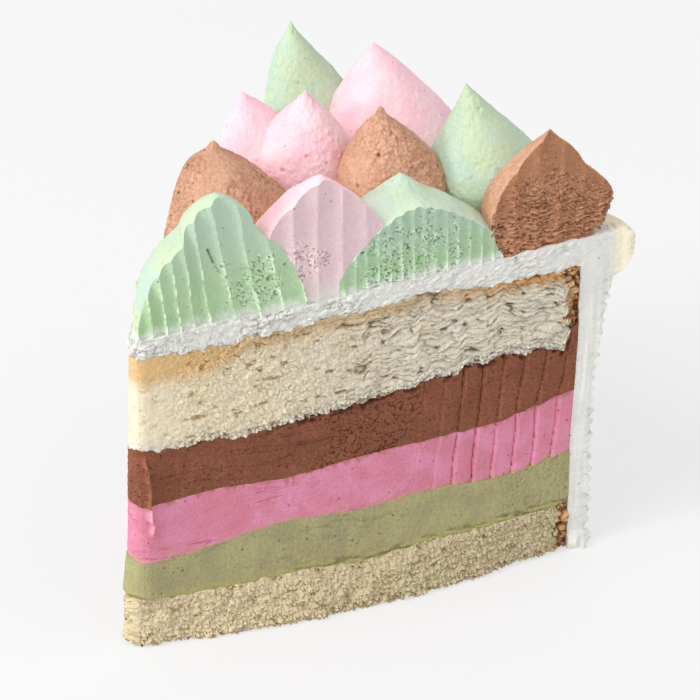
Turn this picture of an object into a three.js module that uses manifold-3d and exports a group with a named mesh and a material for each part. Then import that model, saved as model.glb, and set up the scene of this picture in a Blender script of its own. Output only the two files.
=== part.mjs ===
// A slice of a round layered ice cream cake: two sponges, three ice creams, white icing over the
// top and down the rim, and piped drops of whipped cream that the knife has cut on both sides.
// Millimetres, +Z up, from the middle of the slice's base. The slice's centre line runs along +X
// from the tip to the rim, and its near cut face is the one on the -Y side. The shapes are worked
// out from the whole cake's axis, and the finished group is moved as one.
import * as THREE from 'three';
import { mergeVertices } from 'three/addons/utils/BufferGeometryUtils.js';
import Module from 'manifold-3d';

const wasm = await Module();
wasm.setup();

// Where the whole cake's axis stands, seen from the middle of the slice's base.
const CAKE_AXIS = [-55.4, -0.8];

// Driving sizes of the slice.
const NEAR_ANGLE = THREE.MathUtils.degToRad(-22.5); // about an eighth of the cake, cut by eye
const FAR_ANGLE = THREE.MathUtils.degToRad(23.5);
const TIP_X = 5.8; // the knife left a narrow flat face here instead of a sharp tip
const TIP_WIDENING = 1; // the tip is this much wider at the base
const TIP_PINCH = 1.8; // and this much narrower at the icing's top
const TIP_REACH = 15; // over about this length
const CORE_RADIUS = 97.7; // the filling ends here, and the icing on the rim begins
const RIM_RADIUS = 102.1; // outside of the icing, half way up
const RIM_FLARE = 4.7; // the icing stands out this much further at its top edge
const FLARE_START = 38; // height at which the flare begins
const FOOT_FLARE = 0.8; // the icing spreads a little where it meets the ground
const FOOT_HEIGHT = 6;
const GAP = 0.3; // clear space between neighbouring pieces
const RIDGE_PITCH = 2.4; // combed ridges round the rim
const RIDGE_DEPTH = 0.5;
const RIDGE_TOP = 58; // the comb ends here, below the flared edge

// The chocolate ice cream turns up round the end of the upper sponge.
const LIP_RADIUS = 95.9;
const LIP_TOP = 56.8;
const LIP_SLOPE = 0.002; // share of the layer's length that the lip's inner wall leans over
const LEDGE_SLOPE = 0.5; // rise of the sponge's underside where it reaches over the lip

// The lower sponge was squeezed out past the near cut face and past the tip.
const BASE_BULGE = 5;
const BASE_TIP_STEP = 1.2;
const CRUMB_DEPTH = 0.55; // torn crumb on the sponges' cut faces

// Height of the top of each layer at even steps from the tip to the rim, on the near cut face and
// on the far one.
const LAYER_TOPS = {
  base_sponge: { near: [10.8, 9.9, 9.8, 8.7, 9.6, 10.0, 10.9], far: [10.4, 9.4, 10.2, 10.6, 9.8] },
  pistachio: { near: [19.0, 20.2, 21.6, 20.6, 21.6, 20.6, 23.0], far: [19.6, 21.4, 20.2, 21.8, 22.4] },
  berry: { near: [31.9, 32.7, 31.6, 32.8, 33.1, 33.7, 37.0], far: [32.2, 31.4, 33.6, 34.2, 36.0] },
  chocolate: { near: [44.2, 43.5, 43.6, 44.8, 46.6, 48.5, 46.9], far: [44.0, 44.8, 44.2, 46.8, 47.4] },
  top_sponge: { near: [64.5, 64.1, 64.5, 65.0, 65.7, 64.8, 65.0], far: [64.4, 64.8, 65.2, 64.8, 65.2] },
  icing: { near: [68.3, 69.1, 68.7, 69.3, 69.9, 70.1, 71.0], far: [68.6, 69.2, 69.6, 70.2, 70.8] },
};

// Segments of each layer from tip to rim, from the near face to the far one, and upwards.
const SPONGE_STEPS = [26, 5, 6];
const BASE_STEPS = [26, 5, 4];
const CREAM_STEPS = [20, 5, 2];
const ICING_TOP_STEPS = 18;
const ICING_SIDE_STEPS = 46;
const ICING_ACROSS = 7;
const KISS_SIDES = 18;
const KISS_RINGS = 10;

// Piped drops. `at` is the centre of the foot, `lean` is how far the point has moved off that
// centre. `belly` keeps the drop full higher up, and `taper` over 1 draws its point out, under 1
// rounds it. `reach` is an angle from +X in degrees and how much further the drop has spread that
// way, as a share of its radius.
const KISSES = [
  { name: 'kiss_mint_1', colour: 'mint', at: [83, 30], radius: 12.7, height: 28, lean: [-1.8, 1.9],
    belly: 1.15, taper: 1.1 },
  { name: 'kiss_pink_1', colour: 'pink', at: [90.5, 12.5], radius: 14.5, height: 26.5,
    lean: [-2.8, 2.9], belly: 1.1, taper: 0.95 },
  { name: 'kiss_mint_2', colour: 'mint', at: [90, -15], radius: 12.5, height: 27,
    lean: [-3.8, 3.9], belly: 1.25, taper: 1.15 },
  { name: 'kiss_chocolate_1', colour: 'chocolate', at: [86.3, -33.4], radius: 13, height: 25,
    lean: [-1.5, -1], belly: 1.4, taper: 1, widest: 0.32 },
  { name: 'kiss_pink_2', colour: 'pink', at: [60.7, 23.5], radius: 12.4, height: 22, lean: [-0.7, 0.7],
    belly: 1.6, taper: 0.75 },
  { name: 'kiss_pink_3', colour: 'pink', at: [65, 13], radius: 11.2, height: 24.5, lean: [0.7, -0.7],
    belly: 1.7, taper: 0.9 },
  { name: 'kiss_chocolate_2', colour: 'chocolate', at: [72.3, -5.8], radius: 11.3, height: 24,
    lean: [-2.1, 2.2], belly: 1.8, taper: 0.9 },
  { name: 'kiss_chocolate_3', colour: 'chocolate', at: [40, 9], radius: 15.5, height: 24,
    lean: [-1.3, 1.3], belly: 1.5, taper: 0.85 },
  { name: 'kiss_mint_3', colour: 'mint', at: [22.8, -7], radius: 17.2, height: 25.8,
    lean: [0, 0], belly: 1.3, taper: 0.68, foot: 1, widest: 0.02 },
  { name: 'kiss_mint_4', colour: 'mint', at: [61, -19.5], radius: 17, height: 19.7,
    lean: [-0.2, 1.7], belly: 1.35, taper: 1, foot: 1, widest: 0.1, reach: [-20, 0.2] },
  { name: 'kiss_pink_4', colour: 'pink', at: [41.6, -15.2], radius: 15.5, height: 26, lean: [0, 0],
    belly: 1.5, taper: 0.9 },
];
const KISS_FOOT = 0.82; // foot radius as a share of the widest radius, where a drop gives none
const KISS_WIDEST = 0.28; // height of the widest place as a share of the drop's height, likewise
const KISS_SINK = 3; // the drops start this far under the icing's top, and are cut level with it

// Colour, roughness.
const FINISHES = {
  base_sponge: ['#cfc39f', 0.95],
  pistachio: ['#a3a272', 0.7],
  berry: ['#d4769f', 0.6],
  chocolate: ['#85503f', 0.7],
  top_sponge: ['#d6cba8', 0.95],
  icing: ['#e8e6e2', 0.6],
  kiss_mint: ['#b4dcb0', 0.7],
  kiss_pink: ['#f2c9d2', 0.7],
  kiss_chocolate: ['#b07f64', 0.75],
};

// Height of a layer's top: u runs from the tip to the rim, v from the near face to the far one.
function topOf(layer, u, v) {
  const { near, far } = LAYER_TOPS[layer];
  return THREE.MathUtils.lerp(smoothRow(near, u), smoothRow(far, u), v);
}

function smoothRow(heights, u) {
  const points = heights.map((height, i) => new THREE.Vector2(i, height));
  return new THREE.SplineCurve(points).getPoint(u).y;
}

// Share of the way from the tip to the rim at radius r on the ray of share v.
function shareAt(r, v) {
  const tip = TIP_X / Math.cos(rayAngle(v));
  return THREE.MathUtils.clamp((r - tip) / (CORE_RADIUS - tip), 0, 1);
}

function rayAngle(v) {
  return THREE.MathUtils.lerp(NEAR_ANGLE, FAR_ANGLE, v);
}

// The far face isn't quite flat: near the tip it stands out at the base and is drawn in at the top.
function polar(r, v, z) {
  const angle = rayAngle(v);
  const slant = THREE.MathUtils.lerp(TIP_WIDENING, -TIP_PINCH, z / LAYER_TOPS.icing.far[0]);
  const shift = v * slant * Math.exp((TIP_X - r) / TIP_REACH);
  const [x, y] = [r * Math.cos(angle), r * Math.sin(angle)];
  return new THREE.Vector3(x - shift * Math.sin(FAR_ANGLE), y + shift * Math.cos(FAR_ANGLE), z);
}

// Uneven value from -1 to 1, the same for the same a and b.
function unevenness(a, b) {
  const wave = Math.sin(127.1 * a + 311.7 * b) * 43758.5453;
  return 2 * (wave - Math.floor(wave)) - 1;
}

// A unit block of segments whose points are moved by place(u, v, w), each share from 0 to 1.
function shapedBlock([along, across, up], place) {
  const block = new THREE.BoxGeometry(1, 1, 1, along, across, up);
  block.deleteAttribute('normal');
  block.deleteAttribute('uv');
  const shaped = mergeVertices(block);
  const points = shaped.getAttribute('position');
  for (let i = 0; i < points.count; i += 1) {
    const share = new THREE.Vector3().fromBufferAttribute(points, i).addScalar(0.5);
    const { x, y, z } = place(share.x, share.y, share.z);
    points.setXYZ(i, x, y, z);
  }
  return shaped;
}

const above = (name) => (u, v) => topOf(name, u, v) + GAP / 2;
const below = (name) => (u, v) => topOf(name, u, v) - GAP / 2;
const between = (bottom, top) => (u, v, w) => THREE.MathUtils.lerp(bottom(u, v), top(u, v), w);

// One layer of the slice. heightAt(u, v, w) is the height of a point, columnAt(share) moves the
// columns of points along the layer, and endAt(w) is the radius where it ends. crumb is the depth of the
// torn relief on its two cut faces, and bulge(u, w) is how far the near one stands out.
function layer(steps, heightAt, options = {}) {
  const { columnAt = (u) => u, endAt = () => CORE_RADIUS, tipX = TIP_X } = options;
  const { crumb = 0, bulge = () => 0 } = options;
  return shapedBlock(steps, (column, v, w) => {
    const angle = rayAngle(v);
    const r = THREE.MathUtils.lerp(tipX / Math.cos(angle), endAt(w), columnAt(column));
    const u = shareAt(r, v);
    const point = polar(r, v, heightAt(u, v, w));
    if (v > 0 && v < 1) return point;
    const side = v === 0 ? -1 : 1;
    const outward = crumb * unevenness(column + v, w) + (v === 0 ? bulge(u, w) : 0);
    point.x -= side * outward * Math.sin(angle);
    point.y += side * outward * Math.cos(angle);
    return point;
  });
}

function baseSponge() {
  const squeezed = (u, w) => BASE_BULGE * Math.sin(Math.PI * u) * (1 - w) ** 0.7;
  return layer(BASE_STEPS, between(() => 0, below('base_sponge')),
    { tipX: TIP_X - BASE_TIP_STEP, crumb: CRUMB_DEPTH, bulge: squeezed });
}

function pistachioLayer() {
  return layer(CREAM_STEPS, between(above('base_sponge'), below('pistachio')));
}

function berryLayer() {
  return layer(CREAM_STEPS, between(above('pistachio'), below('berry')));
}

// The last two columns of points are the lip's foot and its top edge, drawn close together.
function chocolateLayer() {
  const [along] = CREAM_STEPS;
  const lip = shareAt(LIP_RADIUS, 0.5);
  const columnAt = (u) => {
    const column = Math.round(u * along);
    if (column === along) return 1;
    return column === along - 1 ? lip + LIP_SLOPE : (lip * column) / (along - 2);
  };
  const top = (u, v) => (u > lip + LIP_SLOPE / 2 ? LIP_TOP : below('chocolate')(u, v));
  return layer(CREAM_STEPS, between(above('berry'), top), { columnAt });
}

// The lower rows of points end inside the chocolate lip, and the upper ones reach over it.
function topSponge() {
  const rows = SPONGE_STEPS[2];
  const lowRows = rows / 2;
  const ledge = LIP_TOP + GAP;
  const isLow = (w) => w * rows < lowRows + 0.5;
  const heightAt = (u, v, w) => {
    if (isLow(w)) return THREE.MathUtils.lerp(above('chocolate')(u, v), ledge, (w * rows) / lowRows);
    const share = (w * rows - lowRows - 1) / (rows - lowRows - 1);
    return THREE.MathUtils.lerp(ledge + LEDGE_SLOPE, below('top_sponge')(u, v), share);
  };
  const endAt = (w) => (isLow(w) ? LIP_RADIUS - GAP : CORE_RADIUS);
  return layer(SPONGE_STEPS, heightAt, { endAt, crumb: CRUMB_DEPTH });
}

// Outside radius of the icing on the rim at height z.
function rimRadius(z, v) {
  const rise = Math.max(0, (z - FLARE_START) / (LAYER_TOPS.icing.near.at(-1) - FLARE_START));
  const foot = Math.max(0, 1 - z / FOOT_HEIGHT);
  const combed = z < RIDGE_TOP ? Math.abs(2 * ((z / RIDGE_PITCH) % 1) - 1) : 0.5;
  const wave = 0.25 * Math.sin(9 * v + 0.11 * z);
  return RIM_RADIUS + RIM_FLARE * rise ** 1.5 + FOOT_FLARE * foot ** 2
    + RIDGE_DEPTH * (combed - 0.5) + wave;
}

// The icing follows a bent path: along the top from the tip to the rim, then down to the ground.
// Every point lies between the inside of the icing (w = 0) and its outside (w = 1).
function icing() {
  const steps = ICING_TOP_STEPS + ICING_SIDE_STEPS;
  const topShare = ICING_TOP_STEPS / steps;
  return shapedBlock([steps, ICING_ACROSS, 2], (s, v, w) => {
    const tip = TIP_X / Math.cos(rayAngle(v));
    const innerRim = CORE_RADIUS + GAP;
    const rimTop = topOf('icing', 1, v);
    if (s <= topShare) {
      const u = s / topShare;
      const inside = polar(THREE.MathUtils.lerp(tip, innerRim, u), v, above('top_sponge')(u, v));
      const reach = THREE.MathUtils.lerp(tip, rimRadius(rimTop, v), u);
      const outside = polar(reach, v, topOf('icing', shareAt(reach, v), v));
      return inside.lerp(outside, w);
    }
    const down = (s - topShare) / (1 - topShare);
    const inside = polar(innerRim, v, above('top_sponge')(1, v) * (1 - down));
    const z = rimTop * (1 - down);
    return inside.lerp(polar(rimRadius(z, v), v, z), w);
  });
}

// Radius of a drop at share s of its height, as a share of its widest radius.
function kissProfile(s, { belly, taper, foot = KISS_FOOT, widest = KISS_WIDEST }) {
  if (s < widest) return 1 - (1 - foot) * (1 - s / widest) ** 2;
  const t = (s - widest) / (1 - widest);
  return Math.max(0, 1 - t ** belly) ** taper;
}

// A whole piped drop, standing a little below the icing's top, grown by `extra` all round.
function kissGeometry(kiss, extra) {
  const { at, radius, height, lean, reach = [0, 0] } = kiss;
  const icingTop = topOf('icing', shareAt(Math.hypot(...at), 0.5), 0.5);
  const outline = [new THREE.Vector2(0, -KISS_SINK - extra)];
  for (let i = 0; i <= KISS_RINGS; i += 1) {
    const s = i / KISS_RINGS;
    const r = i === KISS_RINGS ? 0 : (radius + extra) * kissProfile(s, kiss);
    if (i === 0) outline.push(new THREE.Vector2(r, -KISS_SINK - extra));
    outline.push(new THREE.Vector2(r, s * (height + extra)));
  }
  const drop = new THREE.LatheGeometry(outline, KISS_SIDES).rotateX(Math.PI / 2);
  const points = drop.getAttribute('position');
  const towards = THREE.MathUtils.degToRad(reach[0]);
  for (let i = 0; i < points.count; i += 1) {
    const [x, y] = [points.getX(i), points.getY(i)];
    const s = Math.max(0, points.getZ(i)) / height;
    const spread = 1 + reach[1] * Math.max(0, Math.cos(Math.atan2(y, x) - towards)) ** 2;
    points.setX(i, x * spread + lean[0] * s ** 1.5);
    points.setY(i, y * spread + lean[1] * s ** 1.5);
  }
  return drop.translate(at[0], at[1], icingTop);
}

function toSolid(geometry) {
  const bare = geometry.clone();
  bare.deleteAttribute('normal');
  bare.deleteAttribute('uv');
  const merged = mergeVertices(bare, 1e-4);
  return new wasm.Manifold(new wasm.Mesh({
    numProp: 3,
    vertProperties: merged.getAttribute('position').array,
    triVerts: new Uint32Array(merged.index.array),
  }));
}

function toGeometry(solid) {
  const { vertProperties, triVerts } = solid.getMesh();
  return new THREE.BufferGeometry()
    .setAttribute('position', new THREE.BufferAttribute(vertProperties, 3))
    .setIndex(new THREE.BufferAttribute(triVerts, 1));
}

// The space above the icing between the two cut faces, which is all that a drop may fill.
function roomAboveIcing() {
  const reach = RIM_RADIUS + 30;
  return toSolid(shapedBlock([24, 6, 1], (u, v, w) => {
    const r = THREE.MathUtils.lerp(TIP_X / Math.cos(rayAngle(v)), reach, u);
    const floor = topOf('icing', shareAt(r, v), v) + GAP;
    return polar(r, v, w === 0 ? floor : floor + 60);
  }));
}

// Each drop gives way to the ones piped before it.
function kisses() {
  const room = roomAboveIcing();
  const earlier = [];
  return KISSES.map((kiss) => {
    let solid = toSolid(kissGeometry(kiss, 0)).intersect(room);
    earlier.forEach((grown) => {
      solid = solid.subtract(grown);
    });
    earlier.push(toSolid(kissGeometry(kiss, GAP)));
    return piece(kiss.name, toGeometry(solid), `kiss_${kiss.colour}`);
  });
}

function piece(name, geometry, finish) {
  const [color, roughness] = FINISHES[finish];
  const material = new THREE.MeshStandardMaterial({ color, roughness, metalness: 0 });
  geometry.computeVertexNormals();
  const mesh = new THREE.Mesh(geometry, material);
  mesh.name = name;
  return mesh;
}

function cakeSlice() {
  const slice = new THREE.Group();
  slice.add(
    piece('base_sponge', baseSponge(), 'base_sponge'),
    piece('pistachio_ice_cream', pistachioLayer(), 'pistachio'),
    piece('berry_ice_cream', berryLayer(), 'berry'),
    piece('chocolate_ice_cream', chocolateLayer(), 'chocolate'),
    piece('top_sponge', topSponge(), 'top_sponge'),
    piece('icing', icing(), 'icing'),
    ...kisses(),
  );
  slice.position.set(...CAKE_AXIS, 0);
  return slice;
}

export default cakeSlice();
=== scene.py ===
"""The looks of a slice of layered ice cream cake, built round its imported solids.

Every shape is worked out in millimetres in the whole cake's own frame, with the cake's axis at the
origin and the slice's centre line along +X, and is moved to the slice's frame and turned into
metres when its mesh is finished.
"""

import itertools
import logging
import math
from abc import ABC, abstractmethod
from collections.abc import Sequence
from dataclasses import dataclass
from enum import Enum

import bmesh
import bpy
import numpy as np
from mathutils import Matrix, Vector


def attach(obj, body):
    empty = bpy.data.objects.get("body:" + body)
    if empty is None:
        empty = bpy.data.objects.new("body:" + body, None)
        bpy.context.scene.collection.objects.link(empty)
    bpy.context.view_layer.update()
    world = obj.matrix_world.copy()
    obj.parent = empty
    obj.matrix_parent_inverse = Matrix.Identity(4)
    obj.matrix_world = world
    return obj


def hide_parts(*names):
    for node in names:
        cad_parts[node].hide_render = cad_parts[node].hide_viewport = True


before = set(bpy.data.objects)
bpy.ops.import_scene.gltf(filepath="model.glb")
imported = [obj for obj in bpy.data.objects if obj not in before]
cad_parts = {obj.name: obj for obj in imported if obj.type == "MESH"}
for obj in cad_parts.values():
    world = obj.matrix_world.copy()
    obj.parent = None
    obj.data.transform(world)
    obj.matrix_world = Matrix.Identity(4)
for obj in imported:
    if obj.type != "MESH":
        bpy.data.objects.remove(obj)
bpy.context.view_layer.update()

LOG = logging.getLogger("cake_slice")
METRES = 0.001  # metres in a millimetre
GLOW_REACH = 1.2  # how far light passes under a surface, in millimetres
GLOW_RADII = (1.0, 0.7, 0.5)  # the share of that reach for red, green and blue
Colour = tuple[int, int, int]  # red, green and blue as seen on a screen, from 0 to 255
Number = np.ndarray | float
Pitch = float | Sequence[float]  # a size in millimetres, the same on every axis or one for each
# In a Relief, the pits are painted shade above 0, in pits, seams and grooves, and painted highlight below
# 0, on raised edges.
Relief = tuple[np.ndarray, np.ndarray]  # how far points stand out in millimetres, and where the pits are


# --------------------------------------------------------------------------- relief and numbers


def smooth_step(values: np.ndarray, low: float, high: float) -> np.ndarray:
    """Rises smoothly from 0 at low to 1 at high, or falls where high is the smaller.

    Args:
        values: the numbers to judge.
        low: where the result is 0.
        high: where the result is 1.

    Returns:
        Shares from 0 to 1.
    """
    share = np.clip((values - low) / (high - low), 0.0, 1.0)
    return share * share * (3.0 - 2.0 * share)


def mix(low: Number, high: Number, share: Number) -> Number:
    """Goes from low to high as share goes from 0 to 1."""
    return low + (high - low) * share


@dataclass(frozen=True)
class Chance:
    """Random values that are fixed to places in space, so that every run gives the same ones.

    Attributes:
        seed: tells one pattern from another.
    """

    seed: int

    def of_cells(self, cells: np.ndarray, salt: int = 0) -> np.ndarray:
        """Gives each whole-numbered cell a value of its own.

        Args:
            cells: whole numbers, three for each cell.
            salt: tells several values of one cell apart.

        Returns:
            One value from 0 to 1 for each cell.
        """
        key = cells.astype(np.int64).astype(np.uint64)
        mixed = key[..., 0] * np.uint64(0x9E3779B185EBCA87)
        mixed ^= key[..., 1] * np.uint64(0xC2B2AE3D27D4EB4F)
        mixed ^= key[..., 2] * np.uint64(0x165667B19E3779F9)
        mixed += np.uint64((self.seed * 0x27D4EB2F + salt * 0x85EBCA6B) & 0xFFFFFFFFFFFF)
        for shift in (29, 32):
            mixed ^= mixed >> np.uint64(shift)
            mixed *= np.uint64(0xBF58476D1CE4E5B9)
        mixed ^= mixed >> np.uint64(31)
        return (mixed & np.uint64(0xFFFFFF)).astype(float) / 0x1000000

    def smooth(self, places: np.ndarray, pitch: Pitch, octaves: int = 1) -> np.ndarray:
        """Uneven values that change smoothly from place to place.

        Args:
            places: points in millimetres.
            pitch: size of the largest bumps.
            octaves: layers of bumps, each half as large as the one before.

        Returns:
            One value from about -1 to 1 for each place.
        """
        total = np.zeros(len(places))
        for octave in range(octaves):
            scaled = places / np.asarray(pitch) * 2.0**octave
            low = np.floor(scaled)
            part = scaled - low
            part = part * part * (3.0 - 2.0 * part)
            for corner in itertools.product((0, 1), repeat=3):
                share = np.prod(np.where(corner, part, 1.0 - part), axis=1)
                value = self.of_cells(low + np.array(corner), octave)
                total += share * (2.0 * value - 1.0) * 0.5**octave
        return total / (2.0 - 0.5 ** (octaves - 1))

    def patches(self, places: np.ndarray, pitch: Pitch, low: float, high: float,
                octaves: int = 1) -> np.ndarray:
        """Patches with soft edges.

        Args:
            places: points in millimetres.
            pitch: size of the patches.
            low: the smooth value outside a patch.
            high: the smooth value inside it.
            octaves: layers of bumps in those values.

        Returns:
            Shares from 0 outside to 1 inside.
        """
        return smooth_step(self.smooth(places, pitch, octaves), low, high)

    def cells(self, places: np.ndarray, pitch: Pitch) -> tuple[np.ndarray, np.ndarray, np.ndarray]:
        """Distances to scattered centres, for lumps, grains and pores.

        Args:
            places: points in millimetres.
            pitch: mean distance between centres.

        Returns:
            The distances to the nearest centre and to the next, in pitches, and the nearest centre's
            own random value.
        """
        scaled = places / np.asarray(pitch)
        home = np.floor(scaled)
        nearest = np.full(len(places), np.inf)
        second = nearest
        owner = home.copy()
        for step in itertools.product((-1, 0, 1), repeat=3):
            cell = home + np.array(step)
            centre = cell + np.stack([self.of_cells(cell, salt) for salt in (11, 12, 13)], axis=1)
            distance = np.linalg.norm(scaled - centre, axis=1)
            closer = distance < nearest
            second = np.where(closer, nearest, np.minimum(second, distance))
            nearest = np.where(closer, distance, nearest)
            owner[closer] = cell[closer]
        return nearest, second, self.of_cells(owner, 14)

    def lumps(self, places: np.ndarray, pitch: Pitch, seam: float) -> tuple[np.ndarray, np.ndarray]:
        """Rounded lumps of uneven height that meet at seams.

        Args:
            places: points in millimetres.
            pitch: mean size of a lump.
            seam: width of the seams, in pitches.

        Returns:
            The lumps' height from about -1 to 1, and the seams as 1 against 0 elsewhere.
        """
        nearest, second, value = self.cells(places, pitch)
        gap = smooth_step(second - nearest, seam, 0.0)
        return 1.4 * (value - 0.5) - 0.7 * nearest**2 - 0.5 * gap + 0.4, gap

    def bent(self, places: np.ndarray, pitch: float, reach: float) -> np.ndarray:
        """Moves places about smoothly, so that patterns on them lose their straight runs.

        Args:
            places: points in millimetres.
            pitch: size of the bends.
            reach: how far they move a point.

        Returns:
            The moved places.
        """
        moves = [Chance(self.seed * 8 + axis).smooth(places, pitch) for axis in (1, 2, 3)]
        return places + reach * np.stack(moves, axis=1)


# --------------------------------------------------------------------------- the cake's own sizes


@dataclass(frozen=True)
class Line:
    """The top of a layer, as heights at even steps from the tip to the rim.

    Attributes:
        near: heights on the near cut face.
        far: heights on the far cut face.
        ragged: how far the line strays up and down in small steps.
        pitch: length of those steps.
    """

    near: tuple[float, ...]
    far: tuple[float, ...]
    ragged: float
    pitch: float


class Level(Enum):
    """The tops of the layers, from the ground upwards."""

    BASE_SPONGE = Line((10.8, 9.9, 9.8, 8.7, 9.6, 10.0, 10.9), (10.4, 9.4, 10.2, 10.6, 9.8), 0.55, 2.2)
    PISTACHIO = Line((19.0, 20.2, 21.6, 20.6, 21.6, 20.6, 23.0), (19.6, 21.4, 20.2, 21.8, 22.4), 0.3, 3.5)
    BERRY = Line((31.9, 32.7, 31.6, 32.8, 33.1, 33.7, 37.0), (32.2, 31.4, 33.6, 34.2, 36.0), 0.25, 3.0)
    CHOCOLATE = Line((44.2, 43.5, 43.6, 44.8, 46.6, 48.5, 46.9), (44.0, 44.8, 44.2, 46.8, 47.4), 1.1, 2.3)
    TOP_SPONGE = Line((64.5, 64.1, 64.5, 65.0, 65.7, 64.8, 65.0), (64.4, 64.8, 65.2, 64.8, 65.2), 0.95, 2.0)
    ICING = Line((68.3, 69.1, 68.7, 69.3, 69.9, 70.1, 71.0), (68.6, 69.2, 69.6, 70.2, 70.8), 0.35, 2.5)


@dataclass(frozen=True)
class CakeShape:
    """The slice as it was cut from the whole cake, in millimetres and radians.

    Attributes:
        axis: where the whole cake's axis stands in the slice's frame.
        near_angle: direction of the near cut face.
        far_angle: direction of the far cut face.
        tip_x: where the narrow flat face at the tip stands.
        tip_widening: how much wider the tip is at its base.
        tip_pinch: how much narrower it is at the icing's top.
        tip_reach: length over which both fade.
        core_radius: where the filling ends and the icing on the rim begins.
        rim_radius: outside of the icing half way up.
        rim_flare: how much further the icing stands out at its top edge.
        flare_start: height at which that begins.
        foot_flare: how far the icing spreads at the ground.
        foot_height: height over which it does.
        comb_pitch: distance between the combed ridges round the rim.
        comb_depth: depth of those ridges.
        comb_top: height at which they end.
        melt: how much further the top edge has melted out at the near cut face.
        melt_middle: height of the middle of that lobe.
        melt_half: half its height.
        melt_share: how far round the rim it reaches, as a share of the way to the far cut face.
        lip_radius: radius from which the chocolate climbs round the end of the upper sponge.
        lip_rise: how far it climbs.
        overhang: how much further out the upper half stands at the rim.
        overhang_rise: heights between which that grows.
        overhang_reach: radii between which that grows.
        edge_round: radius of the icing's upper edge.
        tip_round: radius of the upright edges at the tip.
        hidden_back: how far the tops and undersides of the layers end behind the face at the tip.
        hidden_reach: distance from that face at which they are no longer drawn back.
    """

    axis: tuple[float, float] = (-55.4, -0.8)
    near_angle: float = math.radians(-22.5)
    far_angle: float = math.radians(23.5)
    tip_x: float = 5.8
    tip_widening: float = 1.0
    tip_pinch: float = 1.8
    tip_reach: float = 15.0
    core_radius: float = 97.7
    rim_radius: float = 102.1
    rim_flare: float = 4.8
    flare_start: float = 38.0
    foot_flare: float = 0.8
    foot_height: float = 6.0
    comb_pitch: float = 2.6
    comb_depth: float = 0.7
    comb_top: float = 58.0
    melt: float = 3.9
    melt_middle: float = 66.3
    melt_half: float = 4.7
    melt_share: float = 0.11
    lip_radius: float = 94.7
    lip_rise: float = 7.5
    overhang: float = 1.0
    overhang_rise: tuple[float, float] = (20.0, 50.0)
    overhang_reach: tuple[float, float] = (85.0, 97.0)
    edge_round: float = 1.8
    tip_round: float = 2.4
    hidden_back: float = 0.3
    hidden_reach: float = 5.0

    def ray_angle(self, v: np.ndarray) -> np.ndarray:
        """Direction of the ray of share v between the near cut face and the far one."""
        return mix(self.near_angle, self.far_angle, v)

    def tip_radius(self, v: np.ndarray) -> np.ndarray:
        """Radius at which the ray of share v meets the flat face at the tip."""
        return self.tip_x / np.cos(self.ray_angle(v))

    def share_at(self, r: np.ndarray, v: np.ndarray) -> np.ndarray:
        """Share of the way from the tip to the rim at radius r on the ray of share v."""
        tip = self.tip_radius(v)
        return np.clip((r - tip) / (self.core_radius - tip), 0.0, 1.0)

    def polar(self, r: np.ndarray, v: np.ndarray, z: np.ndarray) -> np.ndarray:
        """A point of the slice, with the far face's slight slant near the tip.

        Args:
            r: distance from the cake's axis.
            v: share of the way from the near cut face to the far one.
            z: height.

        Returns:
            Points in the cake's frame.
        """
        angle = self.ray_angle(v)
        r = r + self.overhang * smooth_step(z, *self.overhang_rise) * smooth_step(r, *self.overhang_reach)
        slant = mix(self.tip_widening, -self.tip_pinch, z / Level.ICING.value.far[0])
        shift = v * slant * np.exp((self.tip_x - r) / self.tip_reach)
        x = r * np.cos(angle) - shift * math.sin(self.far_angle)
        y = r * np.sin(angle) + shift * math.cos(self.far_angle)
        return np.stack([x, y, z], axis=1)

    def top_of(self, level: Level, r: np.ndarray, v: np.ndarray) -> np.ndarray:
        """Height of a layer's top, with its small unevenness.

        Args:
            level: the layer.
            r: distance from the cake's axis.
            v: share of the way from the near cut face to the far one.

        Returns:
            Heights.
        """
        line = level.value
        u = self.share_at(r, v)
        even = mix(self.smooth_row(line.near, u), self.smooth_row(line.far, u), v)
        if level is Level.CHOCOLATE:
            past_lip = (r - self.lip_radius) / (self.core_radius - self.lip_radius)
            even += self.lip_rise * np.clip(past_lip, 0.0, 1.0)
        chance = Chance(100 + list(Level).index(level))
        flat = self.polar(r, v, np.zeros(len(r)))
        return even + line.ragged * chance.smooth(flat, line.pitch, octaves=3)

    @staticmethod
    def smooth_row(heights: Sequence[float], u: np.ndarray) -> np.ndarray:
        """A smooth curve through heights at even steps.

        Args:
            heights: the heights.
            u: shares of the way along the row.

        Returns:
            The curve's height at each share.
        """
        row = np.asarray(heights)
        place = u * (len(row) - 1)
        start = np.minimum(place.astype(int), len(row) - 2)
        t = place - start
        before = row[np.maximum(start - 1, 0)]
        first, second = row[start], row[start + 1]
        after = row[np.minimum(start + 2, len(row) - 1)]
        slope_in, slope_out = (second - before) / 2.0, (after - first) / 2.0
        cubic = 2.0 * first - 2.0 * second + slope_in + slope_out
        square = -3.0 * first + 3.0 * second - 2.0 * slope_in - slope_out
        return cubic * t**3 + square * t**2 + slope_in * t + first

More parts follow.
